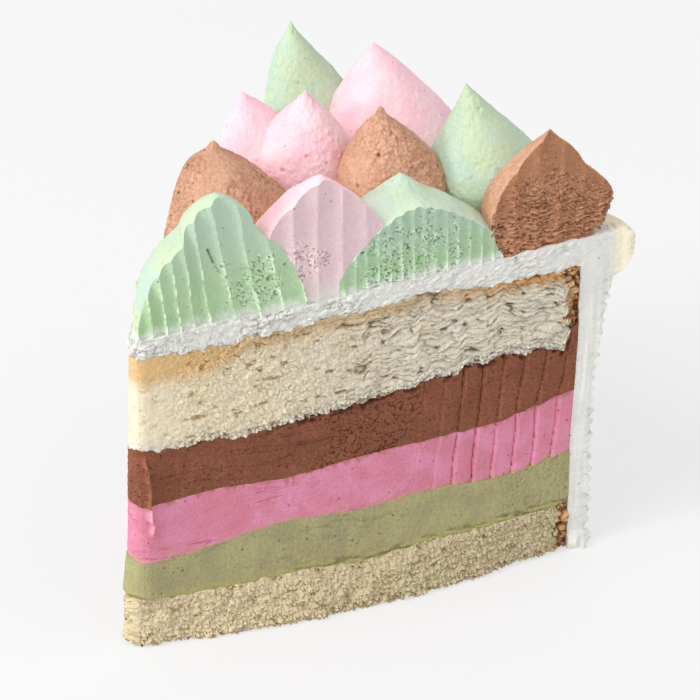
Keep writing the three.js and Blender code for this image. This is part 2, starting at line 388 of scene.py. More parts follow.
    def rim_at(self, z: np.ndarray, v: np.ndarray) -> np.ndarray:
        """Outside radius of the icing on the rim.

        Args:
            z: height.
            v: share of the way from the near cut face to the far one.

        Returns:
            Radii.
        """
        rise = np.clip((z - self.flare_start) / (Level.ICING.value.near[-1] - self.flare_start), 0.0, None)
        foot = np.clip(1.0 - z / self.foot_height, 0.0, None)
        around = np.stack([90.0 * v, 0.0 * v, z], axis=1)
        drift = Chance(31).smooth(around, (14.0, 1.0, 5.0), octaves=2)
        comb = np.abs(2.0 * ((z / self.comb_pitch + 0.35 * drift) % 1.0) - 1.0)
        depth = self.comb_depth * (1.3 + 0.9 * Chance(32).smooth(around, (6.0, 1.0, 2.0)))
        torn = 0.22 * Chance(33).smooth(around, (2.2, 1.0, 0.9), octaves=2)
        combed = (depth * (comb - 0.5) + torn) * smooth_step(z, self.comb_top + 3.0, self.comb_top - 3.0)
        wave = 0.25 * np.sin(9.0 * v + 0.11 * z)
        crown = np.sqrt(np.clip(1.0 - ((z - self.melt_middle) / self.melt_half) ** 2, 0.0, 1.0))
        melted = self.melt * np.exp(-((v / self.melt_share) ** 2)) * crown
        melted *= 1.0 + 0.2 * Chance(34).smooth(around, 4.0)
        spread = self.rim_radius + self.rim_flare * rise**1.5 + self.foot_flare * foot**2
        return spread + combed + wave + melted


SHAPE = CakeShape()


# --------------------------------------------------------------------------- meshes


@dataclass
class Spots:
    """Where the points of a mesh lie in the cake.

    Attributes:
        places: points in the cake's frame, in millimetres.
        r: distance from the cake's axis.
        v: share of the way from the near cut face to the far one.
        below_top: depth under the layer's top.
        above_floor: height over the layer's underside.
    """

    places: np.ndarray
    r: np.ndarray
    v: np.ndarray
    below_top: np.ndarray
    above_floor: np.ndarray

    def through(self) -> np.ndarray:
        """Distance from the near cut face, square to it."""
        return self.r * np.sin(SHAPE.ray_angle(self.v) - SHAPE.near_angle)

    def flat_face(self) -> np.ndarray:
        """The points as seen square to the near cut face: along it, through the slice, and up."""
        return np.stack([self.r, self.through(), self.places[:, 2]], axis=1)

    def in_layer(self) -> np.ndarray:
        """The same, with heights counted from the layer's underside, so that patterns follow it."""
        points = self.flat_face()
        points[:, 2] = self.above_floor
        return points

    def pressed(self) -> "Spots":
        """The same points, with those beside a cut face moved onto it."""
        beside, past_tip = 2.0, 0.8
        through = self.through()
        beyond = self.r * math.sin(SHAPE.far_angle - SHAPE.near_angle) - through
        inside = self.places[:, 0] > SHAPE.tip_x + past_tip
        v = np.where(inside & (through < beside) & (through < beyond), 0.0, self.v)
        v = np.where(inside & (beyond < beside) & (beyond <= through), 1.0, v)
        return Spots(self.places, self.r, v, self.below_top, self.above_floor)


def mesh_of(model: bmesh.types.BMesh, name: str) -> bpy.types.Mesh:
    """Turns a model into a mesh and frees it."""
    mesh = bpy.data.meshes.new(name)
    model.to_mesh(mesh)
    model.free()
    return mesh


def added(name: str, data: bpy.types.ID) -> bpy.types.Object:
    """Adds an object to the scene."""
    made = bpy.data.objects.new(name, data)
    bpy.context.scene.collection.objects.link(made)
    return made


def even_block(steps: Sequence[int]) -> bpy.types.Mesh:
    """A closed unit block whose faces are cut into even steps.

    Args:
        steps: how many steps along x, y and z.

    Returns:
        The block's mesh, centred on the origin.
    """
    model = bmesh.new()
    bmesh.ops.create_cube(model, size=1.0)
    for axis, count in enumerate(steps):
        rows = []
        for edge in model.edges:
            reach = edge.verts[1].co - edge.verts[0].co
            if abs(reach[axis]) > 0.9 * reach.length:
                rows.append(edge)
        bmesh.ops.subdivide_edges(model, edges=rows, cuts=count - 1, use_grid_fill=True)
    return mesh_of(model, "block")


def shares_of(mesh: bpy.types.Mesh, steps: Sequence[int]) -> np.ndarray:
    """Reads an even block's points as shares from 0 to 1.

    Args:
        mesh: the block.
        steps: its steps along x, y and z.

    Returns:
        Three shares for each point, exact at every step.
    """
    return np.round((points_of(mesh) + 0.5) * steps) / steps


def points_of(mesh: bpy.types.Mesh) -> np.ndarray:
    """A mesh's points as an array of three columns."""
    flat = np.zeros(len(mesh.vertices) * 3, np.float32)
    mesh.vertices.foreach_get("co", flat)
    return flat.reshape(-1, 3).astype(float)


def set_points(mesh: bpy.types.Mesh, points: np.ndarray) -> None:
    """Moves a mesh's points to the rows of an array."""
    mesh.vertices.foreach_set("co", points.astype(np.float32).ravel())
    mesh.update()


def keep_values(mesh: bpy.types.Mesh, spots: Spots, **pits: np.ndarray) -> None:
    """Keeps numbers for each point of a mesh, which a finish can read by their names.

    Args:
        mesh: the mesh.
        spots: where its points lie in the cake.
        pits: where painted shade (above 0) and painted highlight (below 0) go, by the name that the finish
            reads.
    """
    values = {"from_axis": spots.r, "below_top": spots.below_top, "above_floor": spots.above_floor}
    for name, pit in pits.items():
        values[name] = np.clip(pit, -1.0, 1.0)
    for name, numbers in values.items():
        kept = mesh.attributes.new(name, "FLOAT", "POINT")
        kept.data.foreach_set("value", numbers.astype(np.float32))


def outward(spots: Spots, tip: np.ndarray) -> np.ndarray:
    """The level direction in which the shown faces of a block face.

    Args:
        spots: the block's points.
        tip: which of them lie on the narrow face at the tip.

    Returns:
        A direction of length 1 for each point on such a face, and of length 0 for the others.
    """
    way = np.zeros_like(spots.places)
    way[spots.v == 0.0] += (math.sin(SHAPE.near_angle), -math.cos(SHAPE.near_angle), 0.0)
    way[spots.v == 1.0] += (-math.sin(SHAPE.far_angle), math.cos(SHAPE.far_angle), 0.0)
    way[tip] += (-1.0, 0.0, 0.0)
    return way / np.maximum(np.linalg.norm(way, axis=1, keepdims=True), 1.0)


def rounded_off(spots: Spots, tip: np.ndarray, tip_x: float = SHAPE.tip_x) -> np.ndarray:
    """How deep the upright edges at the tip are rounded off.

    Args:
        spots: the block's points.
        tip: which of them lie on the narrow face at the tip.
        tip_x: where that face stands.

    Returns:
        Depths in millimetres.
    """
    radius = SHAPE.tip_round
    sides = (spots.v == 0.0) | (spots.v == 1.0)
    turn = math.pi / 2.0 + SHAPE.near_angle
    width = tip_x * (math.tan(SHAPE.far_angle) - math.tan(SHAPE.near_angle))
    from_tip = spots.r - tip_x / np.cos(SHAPE.ray_angle(spots.v))
    along = np.where(tip, np.minimum(spots.v, 1.0 - spots.v) * width, from_tip)
    left = np.clip(radius * math.tan(turn / 2.0) - along, 0.0, None)
    depth = radius - np.sqrt(radius**2 - left**2)
    depth[sides & tip] = radius * (1.0 / math.cos(turn / 2.0) - 1.0)
    return np.where(sides | tip, depth, 0.0)


def shape_block(mesh: bpy.types.Mesh, spots: Spots, tip: np.ndarray, relief: np.ndarray,
                hidden: Number = SHAPE.hidden_back, tip_x: float = SHAPE.tip_x) -> None:
    """Moves a block's points to their places in the cake, and rounds off its edges at the tip.

    Args:
        mesh: the block.
        spots: where its points lie in the cake before their relief.
        tip: which of them lie on the narrow face at the tip.
        relief: how far each point on a shown face stands out.
        hidden: how far the points behind the face at the tip end behind it.
        tip_x: where that face stands.
    """
    out = relief - rounded_off(spots, tip, tip_x)
    back = rounded_off(spots, np.ones_like(tip), tip_x) + hidden
    back[(spots.v == 0.0) | (spots.v == 1.0) | tip] = 0.0
    behind = spots.r - tip_x / np.cos(SHAPE.ray_angle(spots.v))
    points = spots.places + outward(spots, tip) * out[:, None]
    points[:, 0] += back * np.clip(1.0 - behind / SHAPE.hidden_reach, 0.0, 1.0)
    set_points(mesh, points)


def finished(mesh: bpy.types.Mesh, name: str, nodes: Sequence[str],
             finishes: Sequence[bpy.types.Material], crease: float = 45.0) -> bpy.types.Object:
    """Puts a mesh in the slice's frame, in metres, as a piece that stands for CAD nodes.

    Args:
        mesh: the mesh, in the cake's frame and millimetres.
        name: the piece's name.
        nodes: the CAD nodes that it stands for.
        finishes: its materials, in the order of its faces' material numbers.
        crease: angle in degrees past which an edge is drawn sharp.

    Returns:
        The piece.
    """
    moved = (points_of(mesh) + (*SHAPE.axis, 0.0)) * METRES
    set_points(mesh, moved)
    mesh.materials.clear()
    for finish in finishes:
        mesh.materials.append(finish)
    mesh.shade_smooth()
    mesh.set_sharp_from_angle(angle=math.radians(crease))
    mesh.name = name
    piece = added(name, mesh)
    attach(piece, "root")
    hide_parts(*nodes)
    LOG.info("%s: %d faces", name, len(mesh.polygons))
    return piece


# --------------------------------------------------------------------------- finishes


class Flow:
    """An output socket of a recipe, so that sums on it can be written as plain expressions."""

    def __init__(self, recipe: "Recipe", socket: bpy.types.NodeSocket) -> None:
        """Wraps a socket of a recipe's node."""
        self.recipe = recipe
        self.socket = socket

    def __add__(self, other: "Value") -> "Flow":
        """Adds a number or another flow."""
        return self.recipe.sum("ADD", self, other)

    def __radd__(self, other: float) -> "Flow":
        """Adds to a number."""
        return self.recipe.sum("ADD", other, self)

    def __sub__(self, other: "Value") -> "Flow":
        """Takes away a number or another flow."""
        return self.recipe.sum("SUBTRACT", self, other)

    def __rsub__(self, other: float) -> "Flow":
        """Is taken away from a number."""
        return self.recipe.sum("SUBTRACT", other, self)

    def __mul__(self, other: "Value") -> "Flow":
        """Multiplies by a number or another flow."""
        return self.recipe.sum("MULTIPLY", self, other)

    def __rmul__(self, other: float) -> "Flow":
        """Multiplies a number."""
        return self.recipe.sum("MULTIPLY", other, self)


Value = Flow | float


class Recipe:
    """Builds the nodes of one material."""

    def __init__(self, name: str) -> None:
        """Starts a material.

        Args:
            name: the material's name.
        """
        self.material = bpy.data.materials.new(name)
        self.material.use_nodes = True
        self.tree = self.material.node_tree
        self.shader = self.tree.nodes["Principled BSDF"]
        self.places = self.node("ShaderNodeTexCoord").outputs["Object"]

    def node(self, kind: str, settings: dict[str, object] | None = None,
             inputs: dict[str | int, object] | None = None) -> bpy.types.Node:
        """Adds a node.

        Args:
            kind: the node's type.
            settings: its properties.
            inputs: values, flows or sockets for its inputs.

        Returns:
            The node.
        """
        made = self.tree.nodes.new(kind)
        for key, value in (settings or {}).items():
            setattr(made, key, value)
        for key, value in (inputs or {}).items():
            self.feed(made.inputs[key], value)
        return made

    def feed(self, socket: bpy.types.NodeSocket, value: object) -> None:
        """Links or sets an input socket.

        Args:
            socket: the input.
            value: a flow, a socket, a number, three numbers, or a colour.
        """
        if isinstance(value, Flow):
            self.tree.links.new(value.socket, socket)
        elif isinstance(value, bpy.types.NodeSocket):
            self.tree.links.new(value, socket)
        elif socket.type == "RGBA":
            socket.default_value = (*paint(value), 1.0)
        else:
            socket.default_value = value

    def sum(self, operation: str, first: Value, second: Value) -> Flow:
        """One sum on two values, at least one of them a flow."""
        made = self.node("ShaderNodeMath", {"operation": operation}, {0: first, 1: second})
        return Flow(self, made.outputs[0])

    def value_of(self, name: str) -> Flow:
        """A number that the mesh keeps for each of its points."""
        return Flow(self, self.node("ShaderNodeAttribute", {"attribute_name": name}).outputs["Fac"])

    def step(self, value: Flow, low: float, high: float) -> Flow:
        """Rises smoothly from 0 where value is low to 1 where it is high, or falls the other way.

        Args:
            value: the flow to judge.
            low: where the result is 0.
            high: where the result is 1.

        Returns:
            A flow from 0 to 1.
        """
        first, second, start, end = (low, high, 0.0, 1.0) if low < high else (high, low, 1.0, 0.0)
        settings = {"interpolation_type": "SMOOTHSTEP", "clamp": True}
        inputs = {"Value": value, "From Min": first, "From Max": second, "To Min": start, "To Max": end}
        return Flow(self, self.node("ShaderNodeMapRange", settings, inputs).outputs["Result"])

    def turned(self, stretch: Sequence[float]) -> bpy.types.NodeSocket:
        """Object coordinates, turned so that X runs along the near cut face, and squeezed."""
        inputs = {"Vector": self.places, "Rotation": (0.0, 0.0, -SHAPE.near_angle), "Scale": tuple(stretch)}
        return self.node("ShaderNodeMapping", {"vector_type": "POINT"}, inputs).outputs["Vector"]

    def noise(self, pitch: float, detail: float = 3.0, stretch: Sequence[float] | None = None,
              rough: float = 0.55, warp: float = 0.0) -> Flow:
        """Smooth random values.

        Args:
            pitch: size of the largest patches, in millimetres.
            detail: how many finer layers are added.
            stretch: how many times finer the pattern is along the near cut face, through it and up.
            rough: share that each finer layer keeps.
            warp: how much the pattern is bent by itself.

        Returns:
            A flow from 0 to 1, mostly near the middle.
        """
        vector = self.turned(stretch) if stretch else self.places
        inputs = {"Vector": vector, "Scale": 1.0 / (pitch * METRES), "Detail": detail,
                  "Roughness": rough, "Distortion": warp}
        return Flow(self, self.node("ShaderNodeTexNoise", inputs=inputs).outputs["Fac"])

    def pores(self, pitch: float, size: float, share: float) -> Flow:
        """Small round holes, each with its own size.

        Args:
            pitch: mean distance between the places where a hole may be, in millimetres.
            size: the largest hole's radius in pitches.
            share: share of those places that have a hole.

        Returns:
            A flow that is 1 in a hole and 0 outside.
        """
        inputs = {"Vector": self.places, "Scale": 1.0 / (pitch * METRES)}
        grains = self.node("ShaderNodeTexVoronoi", inputs=inputs)
        chosen = self.node("ShaderNodeSeparateColor", inputs={0: grains.outputs["Color"]}).outputs[0]
        room = self.step(Flow(self, chosen), 1.0 - share, 1.0) * size
        return self.step(room - Flow(self, grains.outputs["Distance"]), 0.0, 0.06)

    def blend(self, share: Value, first: object, second: object) -> Flow:
        """Mixes two colours.

        Args:
            share: 0 for the first colour and 1 for the second.
            first: a colour or a flow.
            second: a colour or a flow.

        Returns:
            The mixed colour.
        """
        made = self.node("ShaderNodeMix", {"data_type": "RGBA"})
        self.feed(made.inputs[0], share)
        self.feed(made.inputs[6], first)
        self.feed(made.inputs[7], second)
        return Flow(self, made.outputs[2])

    def finish(self, colour: Flow, rough: float, bump: Flow, depth: float, glow: float,
               shine: float = 0.3) -> bpy.types.Material:
        """Connects the shader.

        Args:
            colour: base colour.
            rough: roughness.
            bump: relief from 0 to 1 that is too fine for the mesh.
            depth: height of that relief, in millimetres.
            glow: share of light that passes under the surface.
            shine: specular level.

        Returns:
            The material.
        """
        self.feed(self.shader.inputs["Base Color"], colour)
        constants = {
            "Roughness": rough,
            "Specular IOR Level": shine,
            "Subsurface Weight": glow,
            "Subsurface Radius": GLOW_RADII,
            "Subsurface Scale": GLOW_REACH * METRES,
        }
        for name, value in constants.items():
            self.shader.inputs[name].default_value = value
        inputs = {"Height": bump, "Strength": 1.0, "Distance": depth * METRES}
        relief = self.node("ShaderNodeBump", inputs=inputs)
        self.feed(self.shader.inputs["Normal"], relief.outputs["Normal"])
        return self.material


def paint(colour: Colour) -> tuple[float, float, float]:
    """A colour as shaders count it, from 0 to 1 in even steps of light."""
    def linear(part: int) -> float:
        share = part / 255.0
        return share / 12.92 if share <= 0.04045 else ((share + 0.055) / 1.055) ** 2.4

    return linear(colour[0]), linear(colour[1]), linear(colour[2])


@dataclass(frozen=True)
class SpongeFinish:
    """Torn sponge crumb: pale lumps with painted shade in the hollows between them, a golden skin and a
    browned crust.

    Attributes:
        name: the material's name.
        pale: crumb of the outer, drier half.
        yellow: crumb near the tip.
        stain: colour of the yellowish patches in it.
        hollow_shade: painted shade down in the hollows of the outer half.
        warm_hollow_shade: painted shade down in those near the tip.
        golden: the soaked skin under the icing at the tip.
        tan: the same skin further out.
        dry: the greyish edge along the sponge's underside.
        crust: the browned end at the rim.
        burnt: its darkest spots, and the painted shade in its cracks.
        skin_depth: thickness of the golden skin near the rim.
        dry_height: height of the greyish edge.
        crust_start: radius at which the crust begins.
        top_crust: how much of the crust runs along the icing near the rim.
    """

    name: str
    pale: Colour = (225, 217, 199)
    yellow: Colour = (237, 225, 198)
    stain: Colour = (224, 204, 160)
    hollow_shade: Colour = (126, 111, 87)
    warm_hollow_shade: Colour = (192, 164, 118)
    golden: Colour = (222, 182, 126)
    tan: Colour = (206, 178, 136)
    dry: Colour = (222, 220, 212)
    crust: Colour = (216, 164, 108)
    burnt: Colour = (120, 72, 42)
    skin_depth: float = 2.2
    dry_height: float = 2.6
    crust_start: float = 94.5
    top_crust: float = 1.0

    def material(self) -> bpy.types.Material:
        """Builds the material."""
        mix_in = Recipe(self.name)
        r = mix_in.value_of("from_axis")
        patches = mix_in.noise(6.0, 4.0)
        near_tip = mix_in.step(r + 30.0 * patches, 85.0, 30.0)
        colour = mix_in.blend(near_tip, self.pale, self.yellow)
        stained = mix_in.step(mix_in.noise(3.0, 4.0, warp=0.5), 0.5, 0.75)
        colour = mix_in.blend(0.55 * stained, colour, self.stain)
        edge = 5.0 * (mix_in.noise(2.5, 4.0) - 0.5)
        depth = mix_in.value_of("below_top")
        thicker = 3.5 * mix_in.step(r, 34.0, 12.0)
        soaked = mix_in.step(depth + edge - (self.skin_depth + thicker), 2.2, -1.6)
        skin = mix_in.blend(mix_in.step(r, 34.0, 16.0), self.tan, self.golden)
        colour = mix_in.blend(soaked * 0.9, colour, skin)
        height = mix_in.value_of("above_floor")
        dried = mix_in.step(height + edge, self.dry_height, 0.0)
        colour = mix_in.blend(dried * 0.7, colour, self.dry)
        browned = mix_in.step(r + 1.6 * edge, self.crust_start, self.crust_start + 2.2)
        along_icing = mix_in.step(depth + 0.6 * edge, 2.8, 0.8) * mix_in.step(r, 70.0, 90.0)
        browned = mix_in.sum("MAXIMUM", browned, along_icing * self.top_crust)
        burnt = mix_in.step(mix_in.noise(1.1, 4.0, rough=0.7), 0.5, 0.68)
        colour = mix_in.blend(browned, colour, mix_in.blend(burnt, self.crust, self.burnt))
        hollow_shade = mix_in.blend(near_tip, self.hollow_shade, self.warm_hollow_shade)
        # Painted shade where the pit numbers mark seams, hollows and cracks: the hollow shade colours in
        # the crumb, the burnt colour in the crust.
        pits = mix_in.value_of("pit") * mix_in.step(mix_in.noise(0.7, 3.0), 0.15, 0.6)
        colour = mix_in.blend(pits, colour, mix_in.blend(browned, hollow_shade, self.burnt))
        fine = mix_in.noise(0.35, 3.0, rough=0.7)
        return mix_in.finish(colour, 0.9, fine, depth=0.14, glow=0.08, shine=0.15)


@dataclass(frozen=True)
class CreamFinish:
    """Ice cream or whipped cream, with clouds of two tones, a sandy grain, painted shade in its pits and
    small pores, and painted highlight on raised edges.

    Attributes:
        name: the material's name.
        main: the usual colour.
        second: colour of the clouds in it.
        pore_shade: painted shade in its small pores, which the bump also sinks.
        deep: painted shade down in its pits and grooves, also the tone of its sandy grain.
        edge: painted highlight on the thin raised edges beside them, also used to lighten a drop's tone; or
            None.
        pits: name of the mesh's own numbers for both, above 0 for the shade and below 0 for the highlight.
        cloud: size of the clouds, in millimetres.
        pore_share: share of the places that have a pore.
        grain: height of the fine relief, in millimetres.
        grain_pitch: size of that relief, in millimetres.
        sandy: how much the fine grain shows in the colour.
        rough: roughness.
        stray: how far the edges of the colours below stray, in millimetres.
        low: colour towards the underside, or None for no change.
        low_height: height over the underside at which that colour ends.
        high: colour towards the top, or None.
        high_depth: depth under the top at which that colour ends.
        high_end: depth from which it shows in full.
        outer: colour far from the cake's axis, or None.
        outer_start: radius at which it begins.
    """

    name: str
    main: Colour
    second: Colour
    pore_shade: Colour
    deep: Colour
    pits: str = "pit"
    edge: Colour | None = None
    cloud: float = 7.0
    pore_share: float = 0.1
    grain: float = 0.08
    grain_pitch: float = 0.6
    sandy: float = 0.25
    rough: float = 0.6
    stray: float = 2.5
    low: Colour | None = None
    low_height: float = 2.0
    high: Colour | None = None
    high_depth: float = 1.0
    high_end: float = -0.3
    outer: Colour | None = None
    outer_start: float = 104.0

    def material(self) -> bpy.types.Material:
        """Builds the material."""
        mix_in = Recipe(self.name)
        clouds = mix_in.step(mix_in.noise(self.cloud, 4.0, warp=0.6), 0.35, 0.65)
        colour = mix_in.blend(clouds, self.main, self.second)
        stray = self.stray * (mix_in.noise(1.6, 4.0, stretch=(1.0, 1.0, 0.35)) - 0.5)
        if self.high:
            depth = mix_in.value_of("below_top") + stray
            colour = mix_in.blend(mix_in.step(depth, self.high_depth, self.high_end), colour, self.high)
        if self.low:
            near_floor = mix_in.step(mix_in.value_of("above_floor") + stray, self.low_height, -0.3)
            colour = mix_in.blend(near_floor, colour, self.low)
        if self.outer:
            far_out = mix_in.value_of("from_axis") + stray
            share = mix_in.step(far_out, self.outer_start, self.outer_start + 2.0)
            colour = mix_in.blend(share, colour, self.outer)
        sand = mix_in.step(mix_in.noise(0.5, 3.0, rough=0.75), 0.55, 0.3)
        colour = mix_in.blend(self.sandy * sand, colour, self.deep)
        # Painted shade in the pits and grooves that the mesh's numbers mark, and painted highlight where
        # they are below 0.
        pits = mix_in.value_of(self.pits) * mix_in.step(mix_in.noise(0.9, 3.0), 0.2, 0.6)
        colour = mix_in.blend(pits, colour, self.deep)
        if self.edge:
            colour = mix_in.blend(mix_in.value_of(self.pits) * -1.0, colour, self.edge)
        # Painted shade in the small pores.
        pores = mix_in.pores(0.9, 0.32, self.pore_share)
        colour = mix_in.blend(pores * 0.8, colour, self.pore_shade)
        grain = mix_in.noise(self.grain_pitch, 3.0, rough=0.6)
        return mix_in.finish(colour, self.rough, grain - pores, depth=self.grain, glow=0.1)


# --------------------------------------------------------------------------- knife marks


@dataclass(frozen=True)
class KnifeMarks:
    """Upright marks of the knife on a cut face.

    Attributes:
        pitch: distance between two marks, in millimetres.
        depth: their depth.
        lean: how far a mark moves outwards for each millimetre of height.
        scooped: share of concave scoops; the rest are fine grooves between flat bands.
        start: radius from which the marks show in full.
        fade: length over which they begin.
        phase: share of the pitch by which they are moved outwards.
        burr: height of the thin ridge between two scoops.
        burr_top: height over the floor at which that ridge ends.
        tight: how much closer they stand near the tip.
        tight_end: radius up to which they stand closer.
    """

    pitch: float = 4.32
    depth: float = 0.3
    lean: float = 0.1
    scooped: float = 0.0
    start: float = 0.0
    fade: float = 20.0
    phase: float = 0.25
    burr: float = 0.0
    burr_top: float = 10.0
    tight: float = 0.0
    tight_end: float = 20.0

    def relief(self, spots: Spots) -> Relief:
        """How far the marks move each point outwards, in millimetres.

        Args:
            spots: points on the cut face.

        Returns:
            Distances, and painted shade in the grooves as numbers above 0, with painted highlight on their
            raised edges below it.
        """
        face = spots.flat_face()
        stray = 0.12 * Chance(41).smooth(face, (9.0, 60.0, 9.0), octaves=2)
        r = spots.r + self.tight * np.minimum(spots.r - self.tight_end, 0.0)
        place = (r - self.lean * face[:, 2]) / self.pitch + stray - self.phase
        part = place % 1.0
        apart = np.minimum(part, 1.0 - part) * self.pitch
        ragged = 0.12 * Chance(43).smooth(face, 0.8)
        groove = smooth_step(apart + ragged, 0.34, 0.0)
        cell = np.floor(place)
        strength = 0.65 + 0.7 * Chance(42).of_cells(np.stack([cell, 0 * cell, 0 * cell], axis=1))
        shown = smooth_step(spots.r, self.start - self.fade, self.start) if self.start else 1.0
        band = -0.8 * groove - 1.6 * part**1.5
        scoop = (2.0 * part - 1.0) ** 2 - 1.0
        height = self.depth * strength * mix(band, scoop, self.scooped) * shown
        low = smooth_step(spots.above_floor, self.burr_top, 0.4 * self.burr_top)
        broken = Chance(44).patches(face, (2.0, 2.0, 2.5), -0.3, 0.2)
        crest = smooth_step(apart + ragged, 0.3, 0.05) * low * broken
        height += self.burr * crest
        # Painted shade along the grooves in broken patches, with a painted highlight just beside each
        # groove and on the burr's crest.
        shading_patches = Chance(45).patches(face, (2.0, 2.0, 3.0), -0.4, 0.5, octaves=2) * shown * strength
        groove_highlight = smooth_step(np.abs(part * self.pitch - 0.55), 0.3, 0.05) * (1.0 - self.scooped)
        drawn = 1.4 * self.depth * groove * (1.0 - self.scooped) - 0.35 * groove_highlight
        return height, drawn * shading_patches - 2.5 * self.burr * crest


# --------------------------------------------------------------------------- layers


@dataclass
class Layer(ABC):
    """One layer of the slice, with the relief of its cut faces.

    Attributes:
        name: the piece's and the node's name.
        slot: the record's material slot; not used.
        top: the line that it ends at.
        floor: the line that it starts from, or None on the ground.
        spacing: distance between the points on its cut faces, in millimetres.
        across: steps from the near cut face to the far one.
        tip_x: where its flat face at the tip stands.
    """

    name: str
    slot: str
    top: Level
    floor: Level | None
    spacing: float = 0.22
    across: int = 9
    tip_x: float = SHAPE.tip_x

    def steps(self) -> tuple[int, int, int]:
        """How many steps the block has along, across and up."""
        low = self.floor.value.near[0] if self.floor else 0.0
        along = round((SHAPE.core_radius - self.tip_x) / self.spacing)
        return along, self.across, round((self.top.value.near[0] - low) / self.spacing)

    @abstractmethod
    def relief(self, spots: Spots) -> Relief:
        """The relief of its shown faces."""

    def bulge(self, spots: Spots) -> np.ndarray:
        """How far the layer as a whole stands out, in millimetres."""
        return np.zeros(len(spots.r))

    def hidden_back(self, spots: Spots) -> np.ndarray:
        """How far the layer's top and underside end behind its face at the tip, in millimetres."""
        return np.full(len(spots.r), SHAPE.hidden_back)

    def build(self, finish: bpy.types.Material) -> bpy.types.Object:
        """Makes the piece.

        Args:
            finish: its material.

        Returns:
            The piece, in place.
        """
        steps = self.steps()
        mesh = even_block(steps)
        column, v, w = shares_of(mesh, steps).T
        r = mix(self.tip_x / np.cos(SHAPE.ray_angle(v)), SHAPE.core_radius, column)
        low = SHAPE.top_of(self.floor, r, v) if self.floor else np.zeros(len(r))
        top = SHAPE.top_of(self.top, r, v)
        z = mix(low, top, w)
        spots = Spots(SHAPE.polar(r, v, z), r, v, top - z, z - low)
        relief, pit = self.relief(spots)
        relief += self.bulge(spots)
        shape_block(mesh, spots, column == 0.0, relief, self.hidden_back(spots), self.tip_x)
        keep_values(mesh, spots, pit=pit)
        return finished(mesh, self.name, [self.name], [finish])


@dataclass
class IceCream(Layer):
    """A layer of ice cream: smooth, with level smears and with knife marks towards the rim.

    Attributes:
        marks: the knife marks.
        sandy: height of its fine grain.
        smear: depth of the level smears.
        worms: depth of the worm-like pores that ice has left.
        worms_at: radius in the middle of those pores.
        burr: how far the cream stands up along the edge at the tip.
        burr_middle: height of the middle of that burr.
        swell: how far it has slumped out at the tip.
        torn_top: depth of the torn holes along its upper edge.
        torn_foot: the same along its lower edge.
    """

    across: int = 16
    marks: KnifeMarks = KnifeMarks()
    sandy: float = 0.06
    smear: float = 0.15
    worms: float = 0.0
    worms_at: float = 53.0
    burr: float = 0.0
    burr_middle: float = 34.0
    swell: float = 0.0
    torn_top: float = 0.0
    torn_foot: float = 0.0

    def relief(self, spots: Spots) -> Relief:
        """Knife marks, level smears, fine grain and pores."""
        face = spots.flat_face()
        height, pit = self.marks.relief(spots)
        height += 0.15 * Chance(54).smooth(face, 9.0)
        grain, seam = Chance(52).lumps(face, 0.5, 0.25)
        height += self.sandy * grain
        line = np.abs(Chance(53).smooth(Chance(50).bent(face, 6.0, 1.2), (14.0, 6.0, 0.85), octaves=2))
        line = smooth_step(line, 0.12, 0.0) * smooth_step(spots.r, 74.0, 55.0)
        line *= 0.15 + 0.85 * Chance(48).patches(face, (16.0, 8.0, 4.0), -0.05, 0.35, octaves=2)
        worm = np.abs(Chance(57).smooth(Chance(58).bent(face, 1.4, 0.5), (0.9, 0.9, 0.7)))
        from_middle = np.abs(spots.r - self.worms_at) + 5.0 * Chance(59).smooth(face, 4.0)
        worm = smooth_step(worm, 0.16, 0.03) * smooth_step(from_middle, 14.0, 8.0)
        hole = Chance(49).patches(face, (1.5, 1.5, 1.0), -0.05, 0.3, octaves=2)
        hole *= smooth_step(spots.below_top, 1.8, 0.6) * smooth_step(spots.r, 25.0, 40.0)
        height -= self.smear * line + self.worms * worm + self.torn_top * hole
        split = Chance(47).patches(face, (3.0, 2.0, 0.7), 0.0, 0.25, octaves=2)
        split *= smooth_step(spots.above_floor, 2.0, 0.8) * smooth_step(spots.r, 30.0, 50.0)
        split *= self.torn_foot
        height -= 0.4 * split
        # The pit numbers paint shade into the grain's seams, the smear lines, the worm pores, the splits
        # and the torn holes, and a painted highlight along the burr.
        pit = pit + 0.4 * seam * min(1.0, 8.0 * self.sandy) + 0.7 * line + 1.6 * self.worms * worm
        return height, pit + split + self.torn_top * hole - 0.4 * self.burred(spots)

    def bulge(self, spots: Spots) -> np.ndarray:
        """The burr along the edge at the tip, and the slump under it."""
        height = spots.above_floor / (spots.above_floor + spots.below_top + 1e-6)
        low = np.clip(1.15 - height, 0.0, 1.0) * smooth_step(height, -0.02, 0.12)
        return self.burred(spots) + self.swell * low * smooth_step(spots.r, 15.0, 6.5)

    def burred(self, spots: Spots) -> np.ndarray:
        """How far the burr along the edge at the tip stands out, in millimetres."""
        ragged = Chance(60).smooth(spots.places, (9.0, 9.0, 2.0), octaves=2)
        z = spots.places[:, 2]
        away = (spots.r - SHAPE.tip_radius(spots.v) - 0.8 - 0.07 * (44.0 - z) + 0.9 * ragged) / 0.4
        window = smooth_step(np.abs(z - self.burr_middle), 10.0, 6.5)
        return self.burr * np.exp(-(away**2)) * window * (1.0 + 0.9 * ragged) * (spots.v == 0.0)


